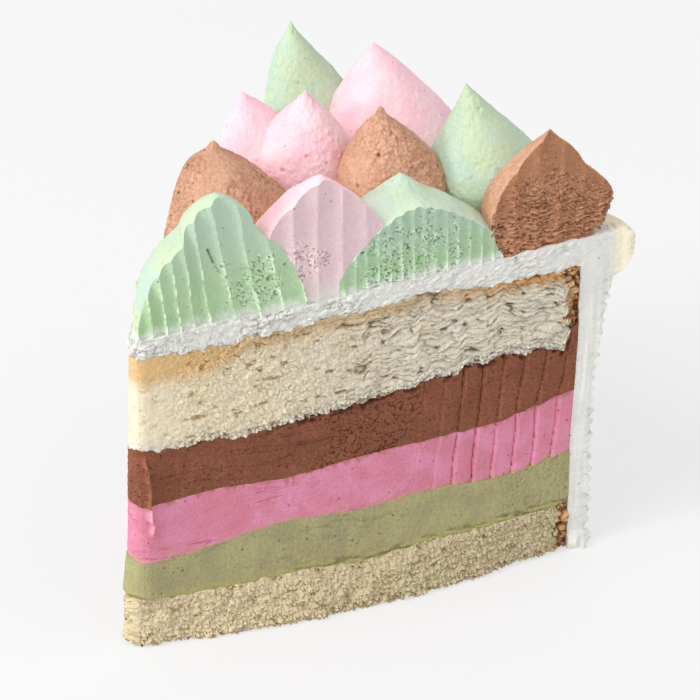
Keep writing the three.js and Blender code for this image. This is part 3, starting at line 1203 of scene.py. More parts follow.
@dataclass
class Sponge(Layer):
    """A layer of sponge with torn crumb.

    Attributes:
        torn_start: radius from which the crumb is torn in level strands.
        lump_size: size of a lump, along, through and up.
        strand_size: size of a strand, along, through and up.
        soft_tip: how much the crumb has melted smooth at the tip.
        shadowed: strength of the painted shade in the hollows.
        coarse: height of the lumps.
        fine: height of the smaller lumps between them.
        flaky: share of small uneven flakes; the rest are rounded lumps.
        crusted: radius from which the crumb is a browned, cracked crust.
    """

    spacing: float = 0.21
    torn_start: float = 37.0
    lump_size: tuple[float, float, float] = (1.7, 1.5, 1.05)
    strand_size: tuple[float, float, float] = (5.5, 2.2, 1.05)
    soft_tip: float = 1.0
    shadowed: float = 1.0
    coarse: float = 0.26
    fine: float = 0.24
    flaky: float = 0.35
    crusted: float = 94.5

    def relief(self, spots: Spots) -> Relief:
        """Lumps, hollows, and level strands towards the rim."""
        face = spots.flat_face()
        level = spots.in_layer()
        drift = spots.r + 9.0 * Chance(60).smooth(face, 7.0)
        torn = smooth_step(drift, self.torn_start, self.torn_start + 22.0)
        soft = Chance(61).smooth(face, 4.5, octaves=2)
        lump, seam = Chance(62).lumps(Chance(63).bent(level, 2.0, 0.8), self.lump_size, 0.3)
        grain, fine = Chance(64).lumps(Chance(65).bent(face, 0.9, 0.3), 0.6, 0.3)
        strand, tear = Chance(66).lumps(Chance(67).bent(level, 3.4, 1.1), self.strand_size, 0.2)
        deep = Chance(68).patches(face, (2.4, 2.0, 1.3), 0.25, 0.6, octaves=2)
        dry = smooth_step(spots.above_floor, 2.6, 0.6)
        flake = 1.6 * Chance(72).smooth(Chance(73).bent(level, 1.5, 0.5), self.lump_size, octaves=3)
        lump = mix(lump, flake, self.flaky)
        crumb = self.coarse * lump + self.fine * grain
        height = 0.25 * soft + mix(crumb, 0.3 * strand + 0.16 * lump + 0.12 * grain, torn)
        height -= deep * (0.15 + 0.5 * mix(seam, tear, torn)) - 0.3 * dry * grain
        # The pit numbers are painted shade: in the seams between lumps, the tears between strands, the
        # deeper patches, and along the underside.
        pit = mix(0.3 * seam + 0.4 * fine, 0.95 * tear + 0.2 * fine, torn) * (0.5 + 0.7 * deep) + 0.2 * deep
        pit = self.shadowed * (pit + 0.5 * smooth_step(spots.above_floor, 1.0, 0.0) * seam)
        crusted = smooth_step(spots.r + 2.5 * soft, self.crusted, self.crusted + 1.5)
        scale, crack = Chance(69).lumps(Chance(70).bent(face, 1.5, 0.6), (1.7, 1.5, 1.4), 0.35)
        height += crusted * (0.6 * scale - 0.5 * crack)
        # Painted shade in the crust's cracks and low scales.
        pit = np.maximum(pit, 0.8 * crusted * (crack + smooth_step(scale, -0.1, -0.4)))
        calm = mix(1.0, 0.35 + 0.65 * smooth_step(spots.r, 8.0, 20.0), self.soft_tip)
        return height * calm, pit * calm


@dataclass
class BaseSponge(Sponge):
    """The lower sponge, squeezed out past the near cut face.

    Attributes:
        squeeze: how far it stands out at the ground, half way along.
        tuck: how far the foot is rounded back under its edge.
        tuck_height: height over which it is.
        tuck_back: how far the layer's underside ends behind that.
    """

    squeeze: float = 5.0
    tuck: float = 0.9
    tuck_height: float = 1.2
    tuck_back: float = 0.8

    def bulge(self, spots: Spots) -> np.ndarray:
        """The squeezed foot, uneven and rounded under its edge."""
        u = SHAPE.share_at(spots.r, spots.v)
        height = np.clip(spots.above_floor / (spots.above_floor + spots.below_top), 0.0, 1.0)
        body = self.squeeze * np.sin(math.pi * u) * (1.0 - height) ** 0.7
        rough = 0.8 * Chance(71).smooth(spots.places, 3.2, octaves=2) * smooth_step(height, 1.0, 0.6)
        return np.where(spots.v == 0.0, body, 0.0) + rough - self.tucked(spots)

    def hidden_back(self, spots: Spots) -> np.ndarray:
        """As far back as the rounding under the edge."""
        return self.tuck_back + self.tucked(spots)

    def tucked(self, spots: Spots) -> np.ndarray:
        """How far each point of the foot is rounded back under its edge, in millimetres."""
        return self.tuck * smooth_step(spots.above_floor, self.tuck_height, 0.0)


# --------------------------------------------------------------------------- icing


@dataclass
class Icing:
    """The white icing over the top and down the rim, as one bent block.

    Attributes:
        name: the piece's and the node's name.
        slot: the record's material slot; not used.
        spacing: distance between the points along its cut faces, in millimetres.
        across: steps from the near cut face to the far one.
        through: steps through its thickness.
        onto_rim: radii between which the torn top gives way to the drawn rim.
    """

    name: str = "icing"
    slot: str = "icing"
    spacing: float = 0.29
    across: int = 56
    through: int = 18
    onto_rim: tuple[float, float] = (96.0, 99.5)

    def relief(self, spots: Spots, on_rim: np.ndarray) -> Relief:
        """How far each point on a cut face stands out, in millimetres.

        Args:
            spots: the icing's points.
            on_rim: 1 on the rim and 0 on the top.

        Returns:
            Distances, and painted shade in its seams, scratches and the bare edge at its underside.
        """
        face = spots.flat_face()
        fluff, seam = Chance(81).lumps(Chance(82).bent(face, 1.8, 0.8), (2.1, 1.5, 0.95), 0.22)
        crumb, fine = Chance(83).lumps(Chance(84).bent(face, 0.8, 0.3), 0.65, 0.25)
        torn = 0.5 + 0.5 * Chance(79).patches(face, (5.0, 3.0, 2.5), -0.15, 0.35, octaves=2)
        torn *= mix(1.15, 0.55, smooth_step(spots.r, 35.0, 80.0))
        rough = torn * (0.46 * fluff + 0.28 * crumb) + 0.2 * Chance(80).smooth(face, 2.6, octaves=2)
        drawn = 0.22 * Chance(85).smooth(face, (0.9, 3.0, 14.0), octaves=2)
        edge = smooth_step(spots.below_top, 1.6, 0.2)
        scratch = np.abs(Chance(86).smooth(Chance(87).bent(face, 3.0, 0.8), (5.0, 3.0, 0.8), octaves=2))
        scratch = smooth_step(scratch, 0.14, 0.0)
        drawn -= 0.12 * scratch * (0.4 + edge)
        foot = smooth_step(spots.places[:, 2], 5.0, 1.0)
        blob = foot * (1.2 + 1.0 * Chance(88).smooth(face, 1.8, octaves=2))
        bare = smooth_step(spots.above_floor, 1.4, 0.3)
        # Painted shade in the torn top's seams, more near its underside, and in the rim's scratches.
        torn_pit = (0.3 * torn + 0.6 * bare) * seam + 0.2 * torn * fine
        pit = mix(torn_pit, 0.5 * scratch * (0.3 + edge), on_rim)
        return mix(rough, drawn + blob, on_rim), pit

    def build(self, finish: bpy.types.Material) -> bpy.types.Object:
        """Makes the piece.

        Args:
            finish: its material.

        Returns:
            The piece, in place.
        """
        rim_top = Level.ICING.value.near[-1]
        top_steps = round((SHAPE.core_radius - SHAPE.tip_x) / self.spacing)
        side_steps = round(rim_top / self.spacing)
        steps = (top_steps + side_steps, self.across, self.through)
        mesh = even_block(steps)
        s, v, w = shares_of(mesh, steps).T
        u = np.clip(s * steps[0] / top_steps, 0.0, 1.0)
        down = np.clip((s * steps[0] - top_steps) / side_steps, 0.0, 1.0)
        tip = SHAPE.tip_radius(v)
        top_edge = SHAPE.top_of(Level.ICING, np.full_like(tip, SHAPE.core_radius), v) - SHAPE.edge_round
        outer_z = top_edge * (1.0 - down)
        rim = SHAPE.rim_at(outer_z, v)
        outer_r = np.where(down > 0.0, rim, mix(tip, rim, u))
        past = np.clip(outer_r - rim + SHAPE.edge_round, 0.0, SHAPE.edge_round)
        drop = SHAPE.edge_round - np.sqrt(SHAPE.edge_round**2 - past**2)
        outer_z = np.where(down > 0.0, outer_z, SHAPE.top_of(Level.ICING, outer_r, v) - drop)
        inner_r = mix(tip, SHAPE.core_radius, u)
        inner_z = SHAPE.top_of(Level.TOP_SPONGE, inner_r, v) * (1.0 - down)
        r, z = mix(inner_r, outer_r, w), mix(inner_z, outer_z, w)
        thick = np.hypot(outer_r - inner_r, outer_z - inner_z)
        spots = Spots(SHAPE.polar(r, v, z), r, v, thick * (1.0 - w), thick * w)
        relief, pit = self.relief(spots, smooth_step(r, *self.onto_rim))
        shape_block(mesh, spots, s == 0.0, relief)
        keep_values(mesh, spots, pit=pit)
        return finished(mesh, self.name, [self.name], [finish])


# --------------------------------------------------------------------------- piped drops


class Cream(Enum):
    """The creams that the drops are piped with, by the record's slot."""

    MINT = "mint_cream"
    PINK = "pink_cream"
    CHOCOLATE = "chocolate_cream"


@dataclass(frozen=True)
class Kiss:
    """One piped drop of cream.

    Attributes:
        node: the piece's and the node's name.
        cream: what it is piped with.
        at: centre of its foot.
        radius: its widest radius.
        height: its height over the icing.
        lean: how far its point has moved off the centre.
        belly: keeps it full higher up.
        taper: over 1 draws its point out, under 1 rounds it.
        foot: foot radius as a share of the widest.
        widest: height of the widest place as a share of the height.
        reach: an angle from +X in degrees, and how much further it has spread that way.
        lobes: direction in degrees, share of the height and size of each bulge or dent on its side.
        nib: height of the little point that the nozzle has left on it.
        leather: depth of the creases in its own surface.
        marks: the knife's marks where it is cut.
        tone: how much darker the cut is than others of its cream.
        skin_tone: the same for its own surface.
        pocks: radius, height over the icing and size of a patch of burst bubbles in the cut.
        slit: radius and height of an open slit in the cut, or None.
        frayed: length of the torn flecks round the cut.
    """

    node: str
    cream: Cream
    at: tuple[float, float]
    radius: float
    height: float
    lean: tuple[float, float]
    belly: float
    taper: float
    foot: float = 0.82
    widest: float = 0.28
    reach: tuple[float, float] = (0.0, 0.0)
    lobes: tuple[tuple[float, float, float], ...] = ()
    nib: float = 0.0
    leather: float = 0.08
    marks: KnifeMarks = KnifeMarks(4.5, 0.2, 0.1, 0.6)
    tone: float = 0.0
    skin_tone: float = 0.0
    pocks: tuple[float, float, float] = (0.0, 0.0, 1.0)
    slit: tuple[float, float] | None = None
    frayed: float = 0.25

    def base(self) -> float:
        """Height of the icing under the drop's centre."""
        r = np.array([math.hypot(*self.at)])
        line = Level.ICING.value
        u = SHAPE.share_at(r, np.array([0.5]))
        return float(mix(SHAPE.smooth_row(line.near, u), SHAPE.smooth_row(line.far, u), 0.5)[0])

    def profile(self, s: float) -> float:
        """Radius at share s of the height, as a share of the widest."""
        if s < self.widest:
            return 1.0 - (1.0 - self.foot) * (1.0 - s / self.widest) ** 2
        t = (s - self.widest) / (1.0 - self.widest)
        return max(0.0, 1.0 - t**self.belly) ** self.taper

    def is_near(self, other: "Kiss") -> bool:
        """True if the two drops may touch."""
        gap = math.dist(self.at, other.at) - self.radius - other.radius
        margin = 4.0 + 20.0 * max(self.reach[1], other.reach[1])
        return gap < margin


KISSES = (
    Kiss("kiss_mint_1", Cream.MINT, (83.0, 30.0), 12.7, 28.0, (-1.8, 1.9), 1.15, 1.1, skin_tone=0.12),
    Kiss("kiss_pink_1", Cream.PINK, (90.5, 12.5), 14.5, 26.5, (-2.8, 2.9), 1.1, 0.95),
    Kiss("kiss_mint_2", Cream.MINT, (90.0, -15.0), 12.5, 27.0, (-3.8, 3.9), 1.25, 1.15),
    Kiss("kiss_chocolate_1", Cream.CHOCOLATE, (86.3, -33.4), 13.0, 25.0, (-1.5, -1.0), 1.4, 1.0,
         widest=0.32, leather=0.12, frayed=0.9, pocks=(92.0, 13.0, 6.0),
         lobes=((-22.0, 0.64, -0.9), (-22.0, 0.38, 0.8), (-22.0, 0.02, -2.8)),
         marks=KnifeMarks(4.4, 0.7, 0.05, 0.9)),
    Kiss("kiss_pink_2", Cream.PINK, (60.7, 23.5), 12.4, 22.0, (-0.7, 0.7), 1.6, 0.75, nib=0.8),
    Kiss("kiss_pink_3", Cream.PINK, (65.0, 13.0), 11.2, 24.5, (0.7, -0.7), 1.7, 0.9, nib=0.6, leather=0.12),
    Kiss("kiss_chocolate_2", Cream.CHOCOLATE, (72.3, -5.8), 11.3, 24.0, (-2.1, 2.2), 1.8, 0.9,
         nib=1.2, leather=0.2, skin_tone=-0.15),
    Kiss("kiss_chocolate_3", Cream.CHOCOLATE, (40.0, 9.0), 15.5, 24.0, (-1.3, 1.3), 1.5, 0.85,
         nib=1.2, leather=0.2, skin_tone=0.08, lobes=((134.0, 0.3, 1.3),)),
    Kiss("kiss_mint_3", Cream.MINT, (22.8, -7.0), 17.2, 25.8, (0.0, 0.0), 1.3, 0.68,
         foot=1.0, widest=0.02, tone=-0.1, pocks=(31.0, 6.5, 7.5), slit=(21.8, 82.9),
         lobes=((145.0, 0.66, -2.2), (145.0, 0.3, 0.6), (-30.0, 0.68, -1.7)),
         marks=KnifeMarks(4.8, 0.9, -0.2, 1.0, phase=0.4, burr=0.35, burr_top=17.0, tight=0.7)),
    Kiss("kiss_mint_4", Cream.MINT, (61.0, -19.5), 17.0, 19.7, (-0.2, 1.7), 1.35, 1.0,
         foot=1.0, widest=0.1, tone=0.16, skin_tone=-0.2, pocks=(62.0, 4.5, 12.0),
         reach=(-20.0, 0.2), lobes=((-20.0, 0.78, -1.2),),
         marks=KnifeMarks(2.4, 0.34, 0.0, 0.9, burr=0.2)),
    Kiss("kiss_pink_4", Cream.PINK, (41.6, -15.2), 15.5, 26.0, (0.0, 0.0), 1.5, 0.9,
         tone=-0.06, pocks=(39.0, 8.0, 6.5), marks=KnifeMarks(5.0, 0.6, 0.0, 0.95, phase=0.68)),
)


@dataclass
class PipedDrops:
    """All the piped drops, cut by the knife, each giving way to the ones piped before it.

    Attributes:
        skins: the finish of each cream's own surface.
        cuts: the finish of each cream where it is cut.
        rings: steps up a drop.
        sides: steps round it.
        sink: how far under the icing's top a drop starts.
        spacing: distance between the points on a cut face.
        across: steps from the near cut face to the far one in the space that a drop is cut to.
        margin: how far that space goes past the drop; twice as far towards the tip and above.
    """

    skins: dict[Cream, bpy.types.Material]
    cuts: dict[Cream, bpy.types.Material]
    rings: int = 96
    sides: int = 250
    sink: float = 3.0
    spacing: float = 0.26
    across: int = 40
    margin: float = 2.0

    def build(self) -> list[bpy.types.Object]:
        """Makes the drops.

        Returns:
            The pieces, in place.
        """
        skin, cut = (bpy.data.materials.new(word) for word in ("skin", "cut"))
        whole: dict[Kiss, bpy.types.Object] = {}
        pieces = []
        for kiss in KISSES:
            drop = self.loose(self.drop(kiss), skin)
            room = self.loose(self.room(kiss), cut)
            earlier = [whole[other] for other in whole if kiss.is_near(other)]
            whole[kiss] = drop
            mesh = self.carved(drop, room, earlier)
            bpy.data.objects.remove(room)
            pieces.append(self.dressed(kiss, mesh, cut.name))
        for drop in whole.values():
            bpy.data.objects.remove(drop)
        return pieces

    @staticmethod
    def loose(mesh: bpy.types.Mesh, material: bpy.types.Material) -> bpy.types.Object:
        """An object that only lends its shape."""
        mesh.materials.append(material)
        return added(mesh.name, mesh)

    def drop(self, kiss: Kiss) -> bpy.types.Mesh:
        """A whole drop, spun from its profile and then leaned and roughened.

        Args:
            kiss: the drop.

        Returns:
            Its closed mesh, in the cake's frame.
        """
        model = bmesh.new()
        outline = [model.verts.new((0.0, 0.0, -self.sink))]
        outline.append(model.verts.new((kiss.radius * kiss.profile(0.0), 0.0, -self.sink)))
        for ring in range(self.rings):
            s = ring / self.rings
            outline.append(model.verts.new((kiss.radius * kiss.profile(s), 0.0, kiss.height * s)))
        outline.append(model.verts.new((0.0, 0.0, kiss.height)))
        edges = [model.edges.new(pair) for pair in itertools.pairwise(outline)]
        bmesh.ops.spin(model, geom=[*outline, *edges], cent=(0, 0, 0), axis=(0, 0, 1),
                       angle=math.tau, steps=self.sides, use_merge=True)
        bmesh.ops.remove_doubles(model, verts=model.verts, dist=1e-4)
        bmesh.ops.recalc_face_normals(model, faces=model.faces)
        mesh = mesh_of(model, kiss.node)
        points = points_of(mesh)
        rise = np.clip(points[:, 2], 0.0, None) / kiss.height
        turn = np.arctan2(points[:, 1], points[:, 0]) - math.radians(kiss.reach[0])
        spread = 1.0 + kiss.reach[1] * np.clip(np.cos(turn), 0.0, None) ** 2
        from_axis = np.hypot(points[:, 0], points[:, 1])
        for angle, share, size in kiss.lobes:
            facing = np.clip(np.cos(turn + math.radians(kiss.reach[0] - angle)), 0.0, None) ** 3
            bump = size * facing * np.exp(-(((rise - share) / 0.1) ** 2))
            spread += bump / np.maximum(from_axis, 1.0)
        points[:, 2] += kiss.nib * np.exp(-((from_axis / 1.1) ** 2)) * (points[:, 2] > 0.5 * kiss.height)
        points[:, 0] = points[:, 0] * spread + kiss.lean[0] * rise**1.5 + kiss.at[0]
        points[:, 1] = points[:, 1] * spread + kiss.lean[1] * rise**1.5 + kiss.at[1]
        points[:, 2] += kiss.base()
        set_points(mesh, points)
        normals = np.zeros(len(points) * 3, np.float32)
        mesh.vertices.foreach_get("normal", normals)
        set_points(mesh, points + normals.reshape(-1, 3) * self.skin_relief(kiss, points)[0][:, None])
        return mesh

    @staticmethod
    def skin_relief(kiss: Kiss, places: np.ndarray) -> Relief:
        """The relief of a drop's own surface.

        Args:
            kiss: the drop.
            places: points on it, in the cake's frame.

        Returns:
            Distances, and the drop's tone with painted shade in its creases and pores.
        """
        crease, seam = Chance(92).lumps(Chance(93).bent(places, 1.2, 0.5), (0.95, 0.95, 0.75), 0.35)
        patch = 0.3 + 0.7 * Chance(94).patches(places, 6.0, -0.3, 0.3, octaves=2)
        near, _, value = Chance(95).cells(places, 2.6)
        pore = smooth_step(near, 0.2, 0.1) * (value < 0.16)
        height = 0.35 * Chance(91).smooth(places, 7.0, octaves=2) + 0.05 * Chance(96).smooth(places, 0.9)
        grain = 0.8 * Chance(97).smooth(places, 0.8, octaves=2)
        height += kiss.leather * (crease * patch - 2.5 * pore + grain)
        from_cut = places[:, 1] * math.cos(SHAPE.near_angle) - places[:, 0] * math.sin(SHAPE.near_angle)
        fleck = Chance(98).patches(places, (0.8, 0.8, 0.5), 0.15, 0.5)
        fleck *= smooth_step(np.abs(from_cut), 0.8, 0.3)
        height += kiss.frayed * fleck * smooth_step(places[:, 2] - kiss.base(), 13.0, 6.0)
        # Painted shade in the creases and pores, on top of the drop's own tone.
        return height, kiss.skin_tone + kiss.leather * (3.0 * seam * patch + 7.0 * pore)

    def room(self, kiss: Kiss) -> bpy.types.Mesh:
        """The space above the icing between the cut faces, as far as one drop needs it.

        Args:
            kiss: the drop.

        Returns:
            A closed block whose cut faces carry the knife's marks.
        """
        wide = kiss.radius * (1.0 + kiss.reach[1]) + self.margin
        low_x = max(SHAPE.tip_x, kiss.at[0] - wide - 2.0 * self.margin)
        high_x = kiss.at[0] + wide
        tall = kiss.height + 2.0 * self.margin
        steps = (round((high_x - low_x) / self.spacing), self.across, round(tall / self.spacing))
        mesh = even_block(steps)
        u, v, w = shares_of(mesh, steps).T
        r = mix(low_x, high_x, u) / np.cos(SHAPE.ray_angle(v))
        floor = SHAPE.top_of(Level.ICING, r, v)
        z = floor + tall * w
        spots = Spots(SHAPE.polar(r, v, z), r, v, np.zeros_like(z), tall * w)
        tip = (u == 0.0) & (low_x == SHAPE.tip_x)
        shift = self.cut_relief(kiss, spots)[0] - rounded_off(spots, u == 0.0)
        set_points(mesh, spots.places + outward(spots, tip) * shift[:, None])
        return mesh

    @staticmethod
    def cut_relief(kiss: Kiss, spots: Spots) -> Relief:
        """The relief of a drop's cut face.

        Args:
            kiss: the drop.
            spots: points on the cut face.

        Returns:
            Distances, and the cut's tone with painted shade in its pits, grooves and slit, and painted
            highlight on raised rims and lips below 0.
        """
        face = spots.flat_face()
        height, pit = kiss.marks.relief(spots)
        height += 0.06 * Chance(101).smooth(face, 0.9, octaves=2)
        away = np.hypot(spots.r - kiss.pocks[0], spots.above_floor - kiss.pocks[1]) / kiss.pocks[2]
        pocked = smooth_step(away + 0.7 * Chance(102).smooth(face, 3.0, octaves=2), 1.05, 0.6)
        near, _, value = Chance(103).cells(Chance(104).bent(face, 0.8, 0.4), 0.66)
        open_here = pocked * (value < 0.7)
        hole = smooth_step(near, 0.45, 0.2) * open_here
        brim = smooth_step(np.abs(near - 0.56), 0.18, 0.03) * open_here
        height += 0.16 * brim - 0.35 * hole
        # Painted shade in the burst bubbles, with a painted highlight on their rims.
        pit = pit + 0.7 * hole - 0.6 * brim
        lone, _, value = Chance(105).cells(face, 2.2)
        lone = smooth_step(lone, 0.17, 0.1) * (value < 0.12)
        height -= 0.3 * lone
        if kiss.slit:
            drop_z = face[:, 2] - kiss.slit[1]
            aside = spots.r - kiss.slit[0] + 0.35 * drop_z
            slit = smooth_step(np.abs(aside), 0.3, 0.12) * smooth_step(np.abs(drop_z), 1.9, 1.4)
            slit *= spots.v < 0.5
            height -= 0.4 * slit
            # Painted shade in the slit.
            pit = pit + 1.3 * slit
        if kiss.cream is Cream.CHOCOLATE:
            wavelet = 0.84
            wavy = Chance(106).smooth(Chance(107).bent(face, 1.6, 0.5), (1.4, 1.3, 1.0), octaves=2)
            part = ((face[:, 2] + 1.1 * wavy) / wavelet) % 1.0
            dense = smooth_step(spots.above_floor + 4.0 * Chance(109).smooth(face, 5.0), 19.0, 7.0)
            gaps = Chance(108).smooth(face, (0.9, 0.9, 0.5), octaves=2) + 0.3 * dense
            broken = smooth_step(gaps, 0.05, 0.3)
            wave = smooth_step(np.abs(part - 0.2), 0.22, 0.04) * dense * broken
            lip = smooth_step(np.abs(part - 0.55), 0.22, 0.05) * dense * broken
            height += 0.16 * lip - 0.36 * wave
            # Painted shade in the wavelets, with a painted highlight on their lips; the lone pits get
            # painted shade too.
            pit = pit + 1.5 * wave - 0.8 * lip
        return height, kiss.tone + pit + lone * (1.0 - pit)

    @staticmethod
    def carved(drop: bpy.types.Object, room: bpy.types.Object,
               earlier: Sequence[bpy.types.Object]) -> bpy.types.Mesh:
        """Cuts a drop to its room and to the drops before it.

        Args:
            drop: the whole drop.
            room: the space that it may fill.
            earlier: the drops that it gives way to.

        Returns:
            What is left.
        """
        for operation, other in [("INTERSECT", room), *(("DIFFERENCE", one) for one in earlier)]:
            cutter = drop.modifiers.new(other.name, "BOOLEAN")
            cutter.operation = operation
            cutter.solver = "MANIFOLD"
            cutter.material_mode = "TRANSFER"
            cutter.object = other
        shape = drop.evaluated_get(bpy.context.evaluated_depsgraph_get())
        mesh = bpy.data.meshes.new_from_object(shape)
        drop.modifiers.clear()
        return mesh

    def dressed(self, kiss: Kiss, mesh: bpy.types.Mesh, cut_name: str) -> bpy.types.Object:
        """Gives a carved drop its finishes.

        Args:
            kiss: the drop.
            mesh: its carved mesh.
            cut_name: name of the placeholder material on cut faces.

        Returns:
            The piece.
        """
        is_cut = [material.name == cut_name for material in mesh.materials]
        numbers = np.zeros(len(mesh.polygons), np.int32)
        mesh.polygons.foreach_get("material_index", numbers)
        points = points_of(mesh)
        r = np.hypot(points[:, 0], points[:, 1])
        turn = np.arctan2(points[:, 1], points[:, 0])
        v = (turn - SHAPE.near_angle) / (SHAPE.far_angle - SHAPE.near_angle)
        above = points[:, 2] - SHAPE.top_of(Level.ICING, r, v)
        spots = Spots(points, r, v, kiss.base() + kiss.height - points[:, 2], above)
        keep_values(mesh, spots, skin_pit=self.skin_relief(kiss, points)[1],
                    cut_pit=self.cut_relief(kiss, spots.pressed())[1])
        finishes = [self.skins[kiss.cream], self.cuts[kiss.cream]]
        piece = finished(mesh, kiss.node, [kiss.node], finishes, crease=38.0)
        mesh.polygons.foreach_set("material_index", np.array(is_cut, np.int32)[numbers])
        mesh.update()
        return piece


# --------------------------------------------------------------------------- studio


@dataclass
class Studio:
    """A pale floor, soft light and the camera.

    Attributes:
        target: the point that the camera and the lights face, in metres.
        eye: where the camera stands, in metres.
        lens: focal length in millimetres on the sensor below.
        sensor: sensor width in millimetres.
        floor_reach: distance from the middle of the floor to its edges, in metres.
        floor_drop: how far it lies under the slice, in metres.
        floor_colour: its base colour, in even steps of light.
        floor_glow: strength of its own light.
        sky_strength: strength of the light from all round.
        lamps: name, place, width in metres and power in watts of each light.
    """

    target: tuple[float, float, float] = (0.00584, -0.00488, 0.045)
    eye: tuple[float, float, float] = (-0.46258, -0.45950, 0.41432)
    lens: float = 194.45
    sensor: float = 36.0
    floor_reach: float = 6.0
    floor_drop: float = 0.00005
    floor_colour: tuple[float, float, float] = (0.27, 0.27, 0.274)
    floor_glow: float = 0.6
    sky_strength: float = 0.66
    lamps: tuple[tuple[str, tuple[float, float, float], float, float], ...] = (
        ("key", (-0.85, 0.15, 1.15), 0.8, 11.0),
        ("side", (-1.15, 0.3, 0.5), 0.3, 5.0),
        ("fill", (0.3, -0.9, 1.2), 1.2, 3.0),
    )

    def build(self) -> None:
        """Makes everything in the studio."""
        self.set_camera()
        self.lay_floor()
        self.light()
        view = bpy.context.scene.view_settings
        view.view_transform = "Standard"
        view.look = "None"

    def aimed(self, name: str, data: bpy.types.ID, place: tuple[float, float, float]) -> bpy.types.Object:
        """Adds a camera or a light that faces the target.

        Args:
            name: its name.
            data: the camera or the light.
            place: where it stands, in metres.

        Returns:
            Its object.
        """
        made = added(name, data)
        made.location = place
        way = Vector(self.target) - Vector(place)
        made.rotation_euler = way.to_track_quat("-Z", "Y").to_euler()
        return made

    def set_camera(self) -> None:
        """Sets up the camera."""
        camera = bpy.data.cameras.new("camera")
        camera.lens = self.lens
        camera.sensor_width = self.sensor
        camera.clip_start = 0.01
        camera.clip_end = 50.0
        bpy.context.scene.camera = self.aimed("camera", camera, self.eye)

    def lay_floor(self) -> None:
        """Lays a wide pale floor."""
        model = bmesh.new()
        bmesh.ops.create_grid(model, x_segments=1, y_segments=1, size=self.floor_reach)
        bmesh.ops.translate(model, verts=model.verts, vec=(0.0, 0.0, -self.floor_drop))
        pale = bpy.data.materials.new("pale_floor")
        pale.use_nodes = True
        inputs = {
            "Base Color": (*self.floor_colour, 1.0),
            "Emission Color": (1.0, 1.0, 1.0, 1.0),
            "Emission Strength": self.floor_glow,
            "Roughness": 0.7,
            "Specular IOR Level": 0.2,
        }
        for name, value in inputs.items():
            pale.node_tree.nodes["Principled BSDF"].inputs[name].default_value = value
        floor = added("floor", mesh_of(model, "floor"))
        floor.data.materials.append(pale)

    def light(self) -> None:
        """Hangs the soft lights and sets a bright sky."""
        world = bpy.data.worlds.new("sky")
        world.use_nodes = True
        sky = world.node_tree.nodes["Background"]
        sky.inputs["Color"].default_value = (1.0, 1.0, 1.0, 1.0)
        sky.inputs["Strength"].default_value = self.sky_strength
        bpy.context.scene.world = world
        for name, place, width, power in self.lamps:
            lamp = bpy.data.lights.new(name, "AREA")
            lamp.size = width
            lamp.energy = power
            self.aimed(name, lamp, place)


# --------------------------------------------------------------------------- the slice


CRUMB = SpongeFinish("sponge_crumb")
# Its two hollow colours are painted shade down in the crumb's hollows.
BASE_CRUMB = SpongeFinish(
    "base_crumb", pale=(200, 187, 154), yellow=(218, 203, 171), stain=(206, 186, 142),
    hollow_shade=(164, 138, 98), warm_hollow_shade=(186, 158, 114), dry=(222, 216, 204), crust=(222, 176, 126),
    crust_start=94.0, skin_depth=-7.0, dry_height=0.8, top_crust=0.0)
# In every cream finish below, the third colour is painted shade in the small pores, the fourth is painted
# shade in the pits and grooves and the tone of the sandy grain, and edge is painted highlight on raised
# edges.
OLIVE = CreamFinish(
    "pistachio_ice_cream", (164, 156, 118), (176, 170, 122), (100, 95, 60), (128, 122, 82),
    low=(178, 172, 108), low_height=2.5, sandy=0.5)
BERRY = CreamFinish(
    "berry_ice_cream", (224, 145, 175), (214, 130, 150), (150, 60, 100), (176, 92, 124),
    edge=(236, 176, 192), low=(204, 150, 140), low_height=1.6, high=(188, 118, 118), high_depth=0.9,
    stray=6.0)
BROWN = CreamFinish(
    "chocolate_ice_cream", (149, 89, 62), (136, 78, 53), (80, 42, 30), (90, 48, 33),
    edge=(178, 122, 94), pore_share=0.3, sandy=0.45, grain=0.14, grain_pitch=0.5)
WHITE = CreamFinish(
    "icing", (233, 232, 227), (224, 224, 219), (170, 168, 160), (176, 172, 162),
    pore_share=0.05, sandy=0.15, outer=(250, 240, 214))
SKINS = {
    Cream.MINT: CreamFinish(
        "mint_skin", (187, 210, 195), (198, 215, 183), (150, 184, 140), (150, 175, 130), "skin_pit",
        edge=(232, 246, 230), sandy=0.2, grain=0.14, pore_share=0.02),
    Cream.PINK: CreamFinish(
        "pink_skin", (248, 214, 220), (250, 202, 213), (228, 160, 175), (226, 165, 178), "skin_pit",
        sandy=0.15, grain=0.12, pore_share=0.02),
    Cream.CHOCOLATE: CreamFinish(
        "chocolate_skin", (218, 170, 142), (202, 153, 125), (96, 56, 38), (148, 98, 70), "skin_pit",
        edge=(236, 204, 182), grain=0.2, sandy=0.5),
}
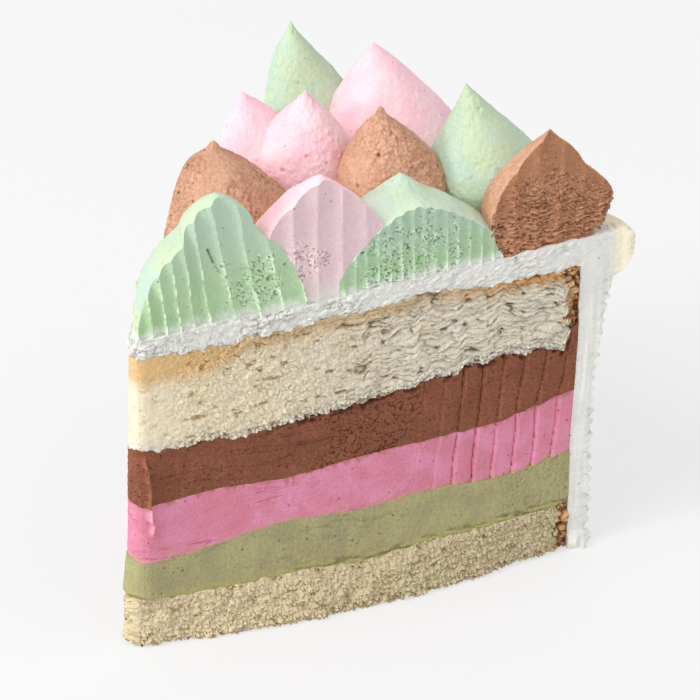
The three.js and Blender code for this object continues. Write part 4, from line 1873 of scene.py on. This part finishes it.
CUTS = {
    Cream.MINT: CreamFinish(
        "mint_cut", (177, 204, 162), (168, 201, 153), (110, 146, 106), (106, 146, 106), "cut_pit",
        edge=(222, 238, 214), low=(232, 234, 227), low_height=2.6, high=(178, 202, 178),
        high_depth=20.0, high_end=8.0, stray=5.0),
    Cream.PINK: CreamFinish(
        "pink_cut", (225, 200, 202), (222, 192, 199), (180, 122, 140), (184, 128, 146), "cut_pit",
        edge=(248, 232, 232), low=(226, 222, 216), low_height=6.0, stray=6.0),
    Cream.CHOCOLATE: CreamFinish(
        "chocolate_cut", (182, 127, 93), (170, 116, 84), (84, 46, 30), (98, 56, 37), "cut_pit",
        edge=(214, 164, 132), sandy=0.4),
}
LAYERS = (
    (BaseSponge("base_sponge", "sponge", Level.BASE_SPONGE, None, tip_x=4.6, torn_start=120.0,
                lump_size=(1.5, 1.3, 1.0), soft_tip=0.3, coarse=0.25, fine=0.42, shadowed=0.8,
                flaky=0.6), BASE_CRUMB),
    (IceCream("pistachio_ice_cream", "pistachio_ice_cream", Level.PISTACHIO, Level.BASE_SPONGE,
              marks=KnifeMarks(depth=0.0), sandy=0.07, smear=0.08, swell=0.9, worms=0.16,
              worms_at=95.0, torn_foot=0.8), OLIVE),
    (IceCream("berry_ice_cream", "berry_ice_cream", Level.BERRY, Level.PISTACHIO,
              marks=KnifeMarks(start=78.0, phase=0.09), burr=1.4), BERRY),
    (IceCream("chocolate_ice_cream", "chocolate_ice_cream", Level.CHOCOLATE, Level.BERRY,
              marks=KnifeMarks(depth=0.24, start=76.0, phase=0.09), sandy=0.14, worms=0.3, burr=1.4,
              torn_top=1.0), BROWN),
    (Sponge("top_sponge", "sponge", Level.TOP_SPONGE, Level.CHOCOLATE), CRUMB),
    (Icing(), WHITE),
)


def main() -> None:
    """Builds the slice piece by piece, then the studio."""
    logging.basicConfig(level=logging.INFO, format="%(message)s")
    for layer, finish in LAYERS:
        layer.build(finish.material())
    skins = {cream: finish.material() for cream, finish in SKINS.items()}
    cuts = {cream: finish.material() for cream, finish in CUTS.items()}
    PipedDrops(skins, cuts).build()
    Studio().build()
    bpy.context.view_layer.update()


if __name__ == "__main__":
    main()
